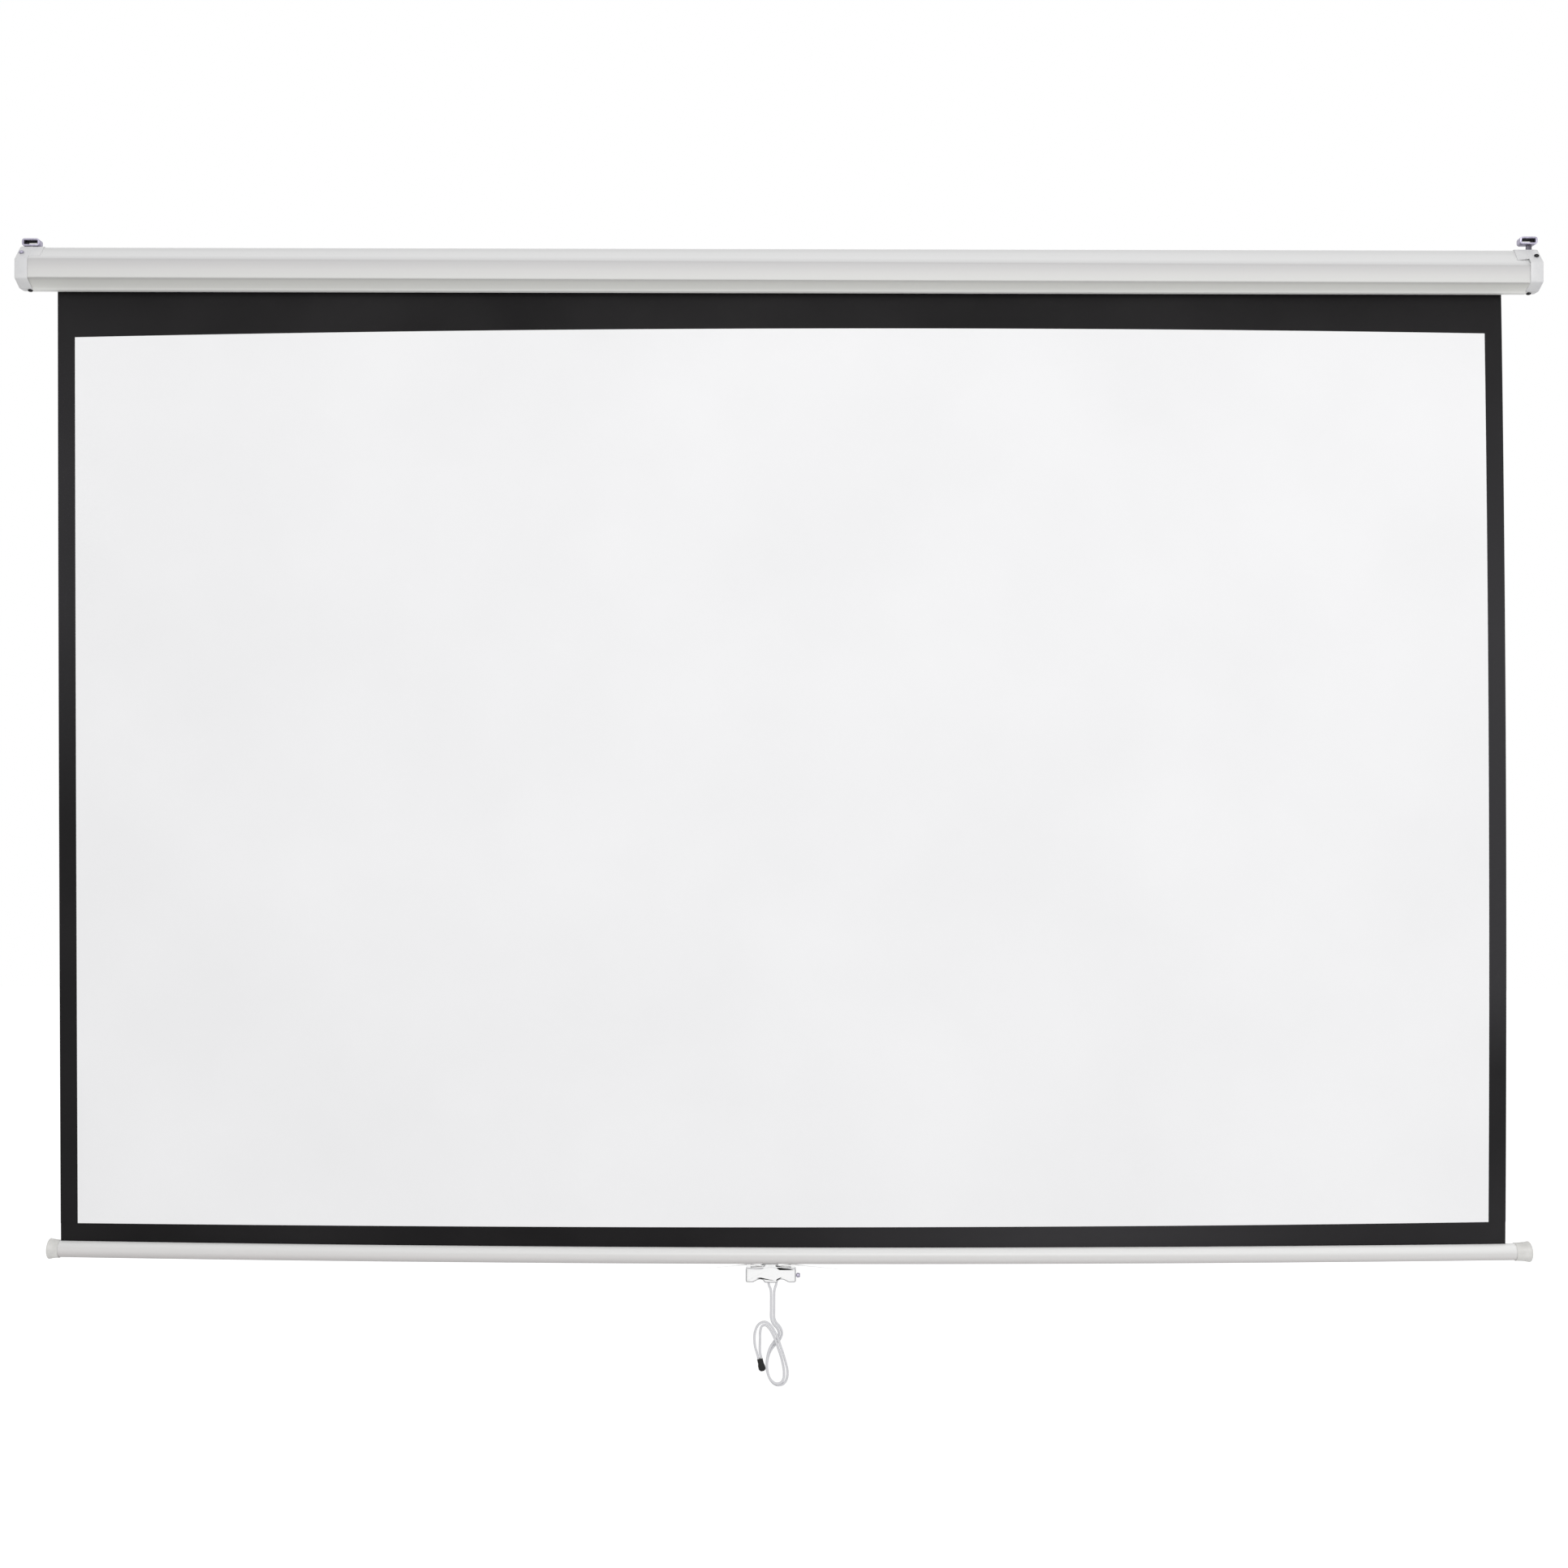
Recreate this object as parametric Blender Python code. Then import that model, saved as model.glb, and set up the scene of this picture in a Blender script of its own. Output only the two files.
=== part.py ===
"""Pull-down projection screen: a wall case with a spring roller, its sheet, bar, grip and cord.

Metres. +X runs along the case, -Y faces the viewer and +Z is up. The origin is the middle
of the case's flat back. Pieces that move hang on an empty that stands on their joint's axis.
"""

import math

import bmesh
import bpy
from mathutils import Matrix, Vector

# Clearances
GAP = 0.0003  # between two pieces that touch, all round
CUT = 0.002  # how far a cutter runs past the face that it opens

# Case: an eight-sided shell of bent sheet steel, open along a slot underneath
CASE_HEIGHT = 0.062
CASE_DEPTH = 0.066
CASE_WALL = 0.001
UPPER_SLOPE_RISE = 0.0244
UPPER_SLOPE_DEPTH = 0.021
LOWER_SLOPE_DROP = 0.0105
LOWER_SLOPE_DEPTH = 0.017
REAR_RISE = 0.0065  # the underside climbs this much from the slot's front edge to its rear bend
REAR_SLOPE_DROP = 0.006  # from the flat back down to that rear bend
BEND_RADIUS = 0.0022  # outside of each bend in the steel
BEND_STEPS = 3
SLOT_WIDTH = 0.011
SLOT_HEM = 0.004  # the slot's edges are turned up this far

# End caps
CAP_LENGTH = 0.020
CAP_WALL = 0.0014
CAP_END_WALL = 0.003
CAP_EDGE = 0.0026  # rounding of the outer end's edge
CAP_RIB = 0.0016
CAP_RIB_DEPTH = 0.010
SPIGOT_WALL = 0.002
TONGUE_LENGTH = 0.0165
TONGUE_WALL = 0.0012
TONGUE_TOP = 0.012  # how far the tongue reaches back over the case's top
TONGUE_SHARE = 0.72  # of the upper slope that it covers
BOSS_RADIUS = 0.0085
BOSS_REACH = 0.010  # how far each boss stands inwards past the cap

# Screws in the caps
SCREW_HEAD_RADIUS = 0.0031
SCREW_HEAD_HEIGHT = 0.0022
SCREW_SHANK_RADIUS = 0.0015
SCREW_LENGTH = 0.010
SCREW_BOSS_RADIUS = 0.0036
SCREW_BOSS_LENGTH = 0.007
TOP_SCREW_INSET = 0.0085  # from the case's end
BOTTOM_SCREW_INSET = 0.0145
BOTTOM_SCREW_SETBACK = 0.005  # behind the bend at the front of the case's underside

# Hanging loops
LOOP_WIDTH = 0.030
LOOP_HEIGHT = 0.0135
LOOP_DEPTH = 0.014
LOOP_CORNER = 0.0045
LOOP_SETBACK = 0.005  # its middle, behind the bend at the front of the case's top
STRAP_WALL = 0.003
LOOP_INSET = 0.0147  # from the case's end to the loop's middle
STEM_INSET = 0.012  # from the case's end to the stem's middle
STEM_WIDTH = 0.009
STEM_THICKNESS = 0.003
FOOT_WIDTH = 0.0125
FOOT_HEIGHT = 0.0025
HANGER_TRAVEL = 0.008
RIGHT_HANGER_LIFT = 0.0074  # the right loop stands drawn up this far
EYE_WIDTH = 0.018
EYE_HEIGHT = 0.0046

# Sheet
SIDE_BORDER = 0.025  # black cloth down each side of the white area
SHEET_THICKNESS = 0.0004
SHEET_SHIFT = 0.0049  # the sheet's middle lies this far right of the case's
SHEET_SETBACK = 0.036  # behind the case's front
VIEW_WIDTH = 2.154
VIEW_HEIGHT = 1.350
HEADER = 0.06615  # black cloth between the case and the white area
FOOTER = 0.030  # black cloth between the white area and the bar
HEADER_ARCH = 0.0115  # the white area's top edge stands this much higher at its middle
WAVES = 3
WAVE_DEPTH = 0.0015

# Roller
ROLLER_RADIUS = 0.0125
ROLLER_WALL = 0.001
ROLLER_Z = -0.002
ROLLER_OVERHANG = 0.005  # past each edge of the sheet
WRAP_TURNS = 2
PLUG_FLANGE = 0.002
PLUG_LENGTH = 0.025
IDLER_PIN_RADIUS = 0.004
IDLER_PIN_IN_CAP = 0.016
IDLER_PIN_IN_PLUG = 0.020
BUSH_WALL = 0.0018
BUSH_FLANGE = 0.0012

# Spring drive and lock
SPINDLE_RADIUS = 0.004
SPINDLE_LENGTH = 0.500
BLADE_WIDTH = 0.0070
BLADE_THICKNESS = 0.0036
SOCKET_DEPTH = 0.016
SPRING_COILS = 30
SPRING_RADIUS = 0.0085
SPRING_WIRE = 0.0018
POINTS_PER_COIL = 8
ANCHOR_LENGTH = 0.018
RATCHET_RADIUS = 0.0074
NOTCH_FLOOR = 0.0056
NOTCH_RAMP = math.radians(90)
NOTCH_SHARE = 0.09  # clear angle ahead of an engaged tip, in radians
LOCK_THICKNESS = 0.003
LOCK_ROOM = 0.0025  # between the lock and the boss in the right end cap
PAWL_PIVOT = 0.0096  # from the roller's axis to a pawl's pin
PAWL_LENGTH = 0.0065
PAWL_EYE_RADIUS = 0.0019
PAWL_TIP_WIDTH = 0.0010
PAWL_REST_RADIUS = 0.0082  # of the tip from the roller's axis, swung clear
PAWL_LOCK_RADIUS = 0.0065  # of the tip in its notch
PAWL_PIN_RADIUS = 0.0009
PAWL_ANGLE = math.radians(60)  # where the upper pin stands round the axis

# Bar
BAR_RADIUS = 0.0125
BAR_WALL = 0.0012
BAR_OVERHANG = 0.0295  # half of what the bar, with its caps, is longer than the sheet is wide
BAR_SHIFT = 0.0172
BAR_BOW = 0.0085  # the tube hangs this much lower at its middle than at its ends
BAR_STATIONS = 12
BAR_SLOT = 0.003
HEM_ROD_RADIUS = 0.0025
BAR_CAP_LENGTH = 0.0255  # from its mouth to its rim
BAR_CAP_WALL = 0.0006
BAR_CAP_FLARE = 0.0021
BAR_CAP_DOME = 0.0035
BAR_CAP_END_WALL = 0.0055  # from the tube's end to the top of the dome
BAR_CAP_SLIT = 0.014  # the sheet's corner passes through this slit in the sleeve

# Grip
GRIP_X = -0.0093
GRIP_HALF_WIDTH = 0.0383
GRIP_THICKNESS = 0.012
GRIP_DROP = 0.0275
GRIP_WAIST = 0.0228
GRIP_BOSS_DROP = 0.028
GRIP_BOSS_HALF_WIDTH = 0.0095
GRIP_SADDLE_HALF_WIDTH = 0.0085
FINGER_GAP = 0.0048
GRIP_CORNER = 0.0030
GRIP_EDGE = 0.0020
GRIP_FOOT_X = 0.0338
GRIP_FOOT_WIDTH = 0.0056
GRIP_FOOT_DEPTH = 0.009
GRIP_SCREW_SEAT = 0.012  # of the head under the bar
GRIP_SCREW_REACH = 0.0035  # into the bar
GRIP_SCREW_HEAD_RADIUS = 0.0021
GRIP_SCREW_SHANK_RADIUS = 0.0012
STUD_RADIUS = 0.0023
STUD_REACH = 0.004
STUD_SEAT = 0.0014  # how deep it sits in the grip's end
STUD_DROP = 0.0173

# Cord: two strands side by side, a half turn of the pair between its top and its end piece
CORD_DIAMETER = 0.0038
CORD_POINTS = 40
TIP_RADIUS = 0.0048
TIP_LENGTH = 0.019
# x, y and z in millimetres from the grip's underside, half the strands' spacing, and the
# pair's turn in degrees (0 side by side as seen from the front, 90 one behind the other)
CORD_ROUTE = [
    (0.0, 0.0, 0.0, 6.0, 0),
    (0.0, 0.0, -3.8, 6.0, 0),
    (0.4, 0.0, -11.5, 3.5, 0),
    (0.8, 0.0, -19.0, 2.4, 0),
    (0.7, 0.0, -30.0, 2.25, 10),
    (0.8, 0.0, -42.2, 2.2, 35),
    (1.4, 0.3, -54.0, 2.2, 40),
    (5.3, 1.0, -62.0, 2.2, 20),
    (10.4, 2.5, -69.5, 2.2, 0),
    (12.3, 4.0, -78.5, 2.2, 0),
    (9.6, 4.6, -86.7, 2.2, 0),
    (4.0, 4.4, -93.4, 2.2, 10),
    (-2.3, 3.0, -101.6, 2.2, 40),
    (-6.6, 1.5, -112.4, 2.2, 72),
    (-8.3, 0.5, -125.0, 2.2, 88),
    (-7.2, 0.0, -137.4, 2.2, 92),
    (-2.6, 0.0, -148.6, 2.2, 105),
    (5.4, 0.0, -155.2, 2.2, 130),
    (14.3, 0.0, -154.2, 2.2, 158),
    (20.3, -0.2, -147.0, 2.6, 175),
    (21.6, -1.0, -135.4, 3.1, 180),
    (19.4, -2.5, -122.6, 2.8, 180),
    (15.2, -3.8, -109.4, 2.3, 180),
    (10.6, -4.6, -97.8, 2.2, 180),
    (5.6, -4.6, -87.3, 2.2, 180),
    (-0.1, -4.0, -77.4, 2.2, 180),
    (-5.9, -2.6, -68.6, 2.2, 180),
    (-12.6, -1.4, -63.6, 2.3, 180),
    (-19.3, -0.5, -66.3, 2.8, 180),
    (-22.5, 0.0, -75.6, 3.9, 180),
    (-23.1, 0.0, -86.7, 4.3, 180),
    (-22.7, 0.0, -97.8, 3.6, 180),
    (-21.2, 0.0, -106.9, 2.4, 180),
    (-19.8, 0.0, -112.6, 2.2, 180),
    (-19.0, 0.0, -116.3, 2.2, 180),
]

# Sizes that follow from the ones above
SHEET_Y = SHEET_SETBACK - CASE_DEPTH
SLOT_FRONT = SHEET_Y - SLOT_WIDTH / 2
SLOT_REAR = SHEET_Y + SLOT_WIDTH / 2
LOOP_Y = UPPER_SLOPE_DEPTH + LOOP_SETBACK - CASE_DEPTH
BOTTOM_SCREW_Y = LOWER_SLOPE_DEPTH + BOTTOM_SCREW_SETBACK - CASE_DEPTH
SHEET_WIDTH = VIEW_WIDTH + 2 * SIDE_BORDER
SHEET_LEFT = SHEET_SHIFT - SHEET_WIDTH / 2
SHEET_RIGHT = SHEET_SHIFT + SHEET_WIDTH / 2
ROLLER_LEFT = SHEET_LEFT - ROLLER_OVERHANG
ROLLER_RIGHT = SHEET_RIGHT + ROLLER_OVERHANG
ROLLER_BORE = ROLLER_RADIUS - ROLLER_WALL
WRAP_RADIUS = ROLLER_RADIUS + GAP + WRAP_TURNS * SHEET_THICKNESS
ROLLER_Y = SHEET_Y - WRAP_RADIUS - GAP - SHEET_THICKNESS / 2
LOCK_X = ROLLER_RIGHT + GAP + PLUG_FLANGE + GAP
BOSS_X = LOCK_X + LOCK_THICKNESS + LOCK_ROOM
CAP_INNER_X = BOSS_X + BOSS_REACH
CASE_END = CAP_INNER_X + CAP_LENGTH
CAP_PLATE_X = CASE_END - CAP_END_WALL
SHELL_END = CAP_PLATE_X - GAP
CASE_TOP = CASE_HEIGHT / 2
CASE_BOTTOM = -CASE_HEIGHT / 2
CAP_TOP = CASE_TOP + GAP + CAP_WALL
VIEW_TOP = CASE_BOTTOM - HEADER
VIEW_BOTTOM = VIEW_TOP - VIEW_HEIGHT
BAR_LENGTH = SHEET_WIDTH + 2 * BAR_OVERHANG
BAR_Z = VIEW_BOTTOM - FOOTER - BAR_RADIUS
BAR_AT_GRIP = BAR_Z - BAR_BOW * (1 - ((GRIP_X - BAR_SHIFT) / (BAR_LENGTH / 2)) ** 2)
BAR_BOTTOM = BAR_AT_GRIP - BAR_RADIUS
BAR_BORE = BAR_RADIUS - BAR_WALL
HEM_ROD_RISE = math.sqrt(BAR_BORE**2 - (BAR_SLOT / 2) ** 2) - math.sqrt(
    (HEM_ROD_RADIUS + GAP) ** 2 - (BAR_SLOT / 2) ** 2
)
CORD_TOP = BAR_BOTTOM - GRIP_BOSS_DROP - GAP


def clear_scene():
    for thing in list(bpy.data.objects):
        bpy.data.objects.remove(thing)


def material(name, colour, roughness, metallic=0.0):
    """A plain finish; colour is linear red, green and blue."""
    made = bpy.data.materials.new(name)
    made.use_nodes = True
    shader = made.node_tree.nodes["Principled BSDF"]
    shader.inputs["Base Color"].default_value = (*colour, 1.0)
    shader.inputs["Roughness"].default_value = roughness
    shader.inputs["Metallic"].default_value = metallic
    made.diffuse_color = (*colour, 1.0)
    return made


def axis_empty(name, place):
    """An empty that stands on a joint's axis and carries what moves about it."""
    empty = bpy.data.objects.new(name, None)
    empty.location = place
    bpy.context.collection.objects.link(empty)
    return empty


def add(name, bm, finish, parent=None, smooth=False):
    """Turn a finished bmesh, drawn in world coordinates, into a named object."""
    bmesh.ops.recalc_face_normals(bm, faces=bm.faces)
    mesh = bpy.data.meshes.new(name)
    bm.to_mesh(mesh)
    bm.free()
    if parent is not None:
        mesh.transform(Matrix.Translation(-parent.location))
    if smooth:
        mesh.shade_smooth()
        mesh.set_sharp_from_angle(angle=math.radians(35))
    made = bpy.data.objects.new(name, mesh)
    made.parent = parent
    if finish is not None:
        made.data.materials.append(finish)
    bpy.context.collection.objects.link(made)
    return made


def apply_boolean(target, other, operation):
    """Cut, join or intersect the target with another object, and drop the other."""
    modifier = target.modifiers.new(operation.lower(), "BOOLEAN")
    modifier.operation = operation
    modifier.object = other
    bpy.context.view_layer.update()
    graph = bpy.context.evaluated_depsgraph_get()
    mesh = bpy.data.meshes.new_from_object(target.evaluated_get(graph))
    target.modifiers.remove(modifier)
    target.data = mesh
    bpy.data.objects.remove(other)


def combine(target, bm, operation="DIFFERENCE"):
    """Cut a form out of the target, or join the two."""
    apply_boolean(target, add("tool", bm, None, target.parent), operation)


def offset_corners(points, distance, closed=True):
    """Move each side of a path to its right by a distance, and meet the sides again."""
    count = len(points)
    moved = []
    for i in range(count):
        here = Vector(points[i])
        before = Vector(points[i - 1]) if closed or i > 0 else None
        after = Vector(points[(i + 1) % count]) if closed or i < count - 1 else None
        normals = []
        if before is not None:
            along = (here - before).normalized()
            normals.append(Vector((along.y, -along.x)))
        if after is not None:
            along = (after - here).normalized()
            normals.append(Vector((along.y, -along.x)))
        if len(normals) == 1:
            moved.append(here + normals[0] * distance)
        else:
            total = normals[0] + normals[1]
            moved.append(here + total * distance / (1 + normals[0].dot(normals[1])))
    return moved


def rounded(points, radius, offset=0.0, closed=True, steps=BEND_STEPS):
    """A path moved outwards by offset, with each corner an arc about the same centre.

    The path runs counter-clockwise. Corners that turn right have their radius changed
    the other way, so that two paths with unlike offsets have matching points.
    """
    corners = offset_corners(points, offset, closed)
    count = len(corners)
    path = []
    for i in range(count):
        here = corners[i]
        if not closed and i in (0, count - 1):
            path.append(here)
            continue
        back = (corners[i - 1] - here).normalized()
        ahead = (corners[(i + 1) % count] - here).normalized()
        turns_left = ahead.x * back.y - ahead.y * back.x > 0
        bend = radius + offset if turns_left else radius - offset
        if bend < GAP:
            path.append(here)
            continue
        half = back.angle(ahead) / 2
        centre = here + (back + ahead).normalized() * bend / math.sin(half)
        reach = bend / math.tan(half)
        start = here + back * reach - centre
        end = here + ahead * reach - centre
        sweep = start.angle(end)
        for k in range(steps + 1):
            share = k / steps
            mix = start * math.sin((1 - share) * sweep) + end * math.sin(share * sweep)
            path.append(centre + mix / math.sin(sweep))
    return path


def ring_verts(bm, outline, axis, at):
    """The outline's points in the plane that stands square to an axis, at a distance."""
    places = {
        "X": lambda u, v: (at, u, v),
        "Y": lambda u, v: (u, at, v),
        "Z": lambda u, v: (u, v, at),
    }
    return [bm.verts.new(places[axis](p[0], p[1])) for p in outline]


def loft(sections, axis):
    """A closed solid through outlines with as many points each, given as (place, outline)."""
    bm = bmesh.new()
    rings = [ring_verts(bm, outline, axis, at) for at, outline in sections]
    for low, high in zip(rings, rings[1:]):
        for i in range(len(low)):
            j = (i + 1) % len(low)
            bm.faces.new((low[i], low[j], high[j], high[i]))
    bm.faces.new(rings[0])
    bm.faces.new(rings[-1])
    return bm


def prism(outline, axis, low, high):
    return loft([(min(low, high), outline), (max(low, high), outline)], axis)


def box(x, y, z):
    """A box from its low and high limits along each axis."""
    return prism([(y[0], z[0]), (y[1], z[0]), (y[1], z[1]), (y[0], z[1])], "X", *x)


def rectangle(width, height, middle=(0.0, 0.0)):
    """Corners of a rectangle, counter-clockwise."""
    u, v = width / 2, height / 2
    return [
        (middle[0] - u, middle[1] - v),
        (middle[0] + u, middle[1] - v),
        (middle[0] + u, middle[1] + v),
        (middle[0] - u, middle[1] + v),
    ]


def lathe(profile, start, direction, segments=24, closed=False):
    """Turn a profile of (distance along the axis, radius) about an axis through start."""
    bm = bmesh.new()
    verts = [bm.verts.new((radius, 0.0, along)) for along, radius in profile]
    edges = [bm.edges.new(pair) for pair in zip(verts, verts[1:])]
    if closed:
        edges.append(bm.edges.new((verts[-1], verts[0])))
    bmesh.ops.spin(
        bm,
        geom=verts + edges,
        cent=(0, 0, 0),
        axis=(0, 0, 1),
        angle=2 * math.pi,
        steps=segments,
        use_merge=True,
    )
    bmesh.ops.remove_doubles(bm, verts=bm.verts, dist=1e-6)
    turn = Vector((0, 0, 1)).rotation_difference(Vector(direction)).to_matrix().to_4x4()
    bmesh.ops.transform(bm, matrix=Matrix.Translation(start) @ turn, verts=bm.verts)
    return bm


def rod(start, direction, length, radius, segments=16):
    profile = [(0, 0), (0, radius), (length, radius), (length, 0)]
    return lathe(profile, start, direction, segments)


def tube(start, direction, length, outer, inner, segments=24):
    profile = [(0, inner), (0, outer), (length, outer), (length, inner)]
    return lathe(profile, start, direction, segments, closed=True)


def case_corners():
    """Corners of the case's outside in y and z, seen from +X and counter-clockwise."""
    crease = CASE_TOP - UPPER_SLOPE_RISE
    return [
        (-CASE_DEPTH + LOWER_SLOPE_DEPTH, CASE_BOTTOM),
        (SLOT_FRONT, CASE_BOTTOM),
        (-LOWER_SLOPE_DEPTH, CASE_BOTTOM + REAR_RISE),
        (0.0, CASE_BOTTOM + REAR_RISE + REAR_SLOPE_DROP),
        (0.0, crease),
        (-UPPER_SLOPE_DEPTH, CASE_TOP),
        (-CASE_DEPTH + UPPER_SLOPE_DEPTH, CASE_TOP),
        (-CASE_DEPTH, crease),
        (-CASE_DEPTH, CASE_BOTTOM + LOWER_SLOPE_DROP),
    ]


def underside(y):
    """Height of the case's underside at a place behind the front edge of its slot."""
    run = -LOWER_SLOPE_DEPTH - SLOT_FRONT
    return CASE_BOTTOM + REAR_RISE * (y - SLOT_FRONT) / run


def case_outline(offset):
    return rounded(case_corners(), BEND_RADIUS, offset)


def strip(path, outer, inner):
    """Outline of a bent strip that lies between two offsets of one open path."""
    over = rounded(path, BEND_RADIUS, outer, closed=False)
    under = rounded(path, BEND_RADIUS, inner, closed=False)
    return over + under[::-1]


def top_screw_line(side):
    """Where a cap's upper screw stands on the upper slope, and the way it points."""
    low = Vector((0, -CASE_DEPTH, CASE_TOP - UPPER_SLOPE_RISE))
    high = Vector((0, -CASE_DEPTH + UPPER_SLOPE_DEPTH, CASE_TOP))
    inward = Vector((0, UPPER_SLOPE_RISE, -UPPER_SLOPE_DEPTH)).normalized()
    seat = (low + high) / 2 - inward * (2 * GAP + CAP_WALL)
    seat.x = side * (CASE_END - TOP_SCREW_INSET)
    return seat, inward


def bottom_screw_line(side):
    seat = Vector((side * (CASE_END - BOTTOM_SCREW_INSET), BOTTOM_SCREW_Y, 0))
    seat.z = CASE_BOTTOM - 2 * GAP - CAP_WALL
    return seat, Vector((0, 0, 1))


def screw_bore(line):
    seat, inward = line
    length = CUT + SCREW_LENGTH + GAP
    return rod(seat - inward * CUT, inward, length, SCREW_SHANK_RADIUS + GAP)


def make_case_shell(finish):
    """The steel shell: one bent strip, with both edges of its slot turned up."""
    corners = case_corners()
    rear_edge = underside(SLOT_REAR)
    path = [(SLOT_REAR, rear_edge + SLOT_HEM), (SLOT_REAR, rear_edge)]
    path += corners[2:] + corners[:2]
    path += [(SLOT_FRONT, CASE_BOTTOM + SLOT_HEM)]
    outline = strip(path, 0.0, -CASE_WALL)
    shell = add("case_shell", prism(outline, "X", -SHELL_END, SHELL_END), finish)
    for side in (-1, 1):
        combine(shell, screw_bore(top_screw_line(side)))
        combine(shell, screw_bore(bottom_screw_line(side)))
        combine(shell, stem_notch(side))
    return shell


def stem_notch(side):
    """Notch in the shell's top, open to its end, for a hanging loop's stem."""
    inner = CASE_END - STEM_INSET - STEM_WIDTH / 2 - GAP
    half = STEM_THICKNESS / 2 + GAP
    return box(
        sorted((side * inner, side * (SHELL_END + CUT))),
        (LOOP_Y - half, LOOP_Y + half),
        (CASE_TOP - CASE_WALL - CUT, CASE_TOP + CUT),
    )


def foot_stop():
    """Underside of the lip that the hanging loop's foot meets when drawn right up."""
    return CASE_TOP - CASE_WALL - GAP - SPIGOT_WALL


def stem_bottom():
    return foot_stop() - GAP - HANGER_TRAVEL - FOOT_HEIGHT


def stem_pocket(side):
    """A neck for the stem, and below it the room in which the wider foot travels."""
    middle = side * (CASE_END - STEM_INSET)
    half = STEM_THICKNESS / 2 + GAP
    y = (LOOP_Y - half, LOOP_Y + half)
    narrow = STEM_WIDTH / 2 + GAP
    wide = FOOT_WIDTH / 2 + GAP
    neck = box((middle - narrow, middle + narrow), y, (foot_stop() - CUT, CAP_TOP + CUT))
    room = box((middle - wide, middle + wide), y, (stem_bottom() - 2 * CUT, foot_stop()))
    return neck, room


def cap_frame_forms(side):
    """Ribs, the block round the stem's pocket and the screw bosses, all set in the spigot."""
    middle_of_spigot = CASE_WALL + GAP + SPIGOT_WALL / 2
    rib_x = sorted((side * (CAP_PLATE_X - CAP_RIB_DEPTH), side * (CAP_PLATE_X + GAP)))
    block_x = sorted((side * CAP_INNER_X, side * (CAP_PLATE_X + GAP)))
    high = CASE_TOP - middle_of_spigot
    upright = box(
        rib_x, (ROLLER_Y - CAP_RIB / 2, ROLLER_Y + CAP_RIB / 2), (-high, high)
    )
    level = box(
        rib_x,
        (-CASE_DEPTH + middle_of_spigot, -middle_of_spigot),
        (ROLLER_Z - CAP_RIB / 2, ROLLER_Z + CAP_RIB / 2),
    )
    half = STEM_THICKNESS / 2 + GAP + CAP_RIB
    block = box(block_x, (LOOP_Y - half, LOOP_Y + half), (stem_bottom() - CUT, high))
    forms = [upright, level, block]
    for seat, inward in (top_screw_line(side), bottom_screw_line(side)):
        start = seat + inward * (2 * GAP + CAP_WALL + middle_of_spigot)
        forms.append(rod(start, inward, SCREW_BOSS_LENGTH, SCREW_BOSS_RADIUS))
    return forms


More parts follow.
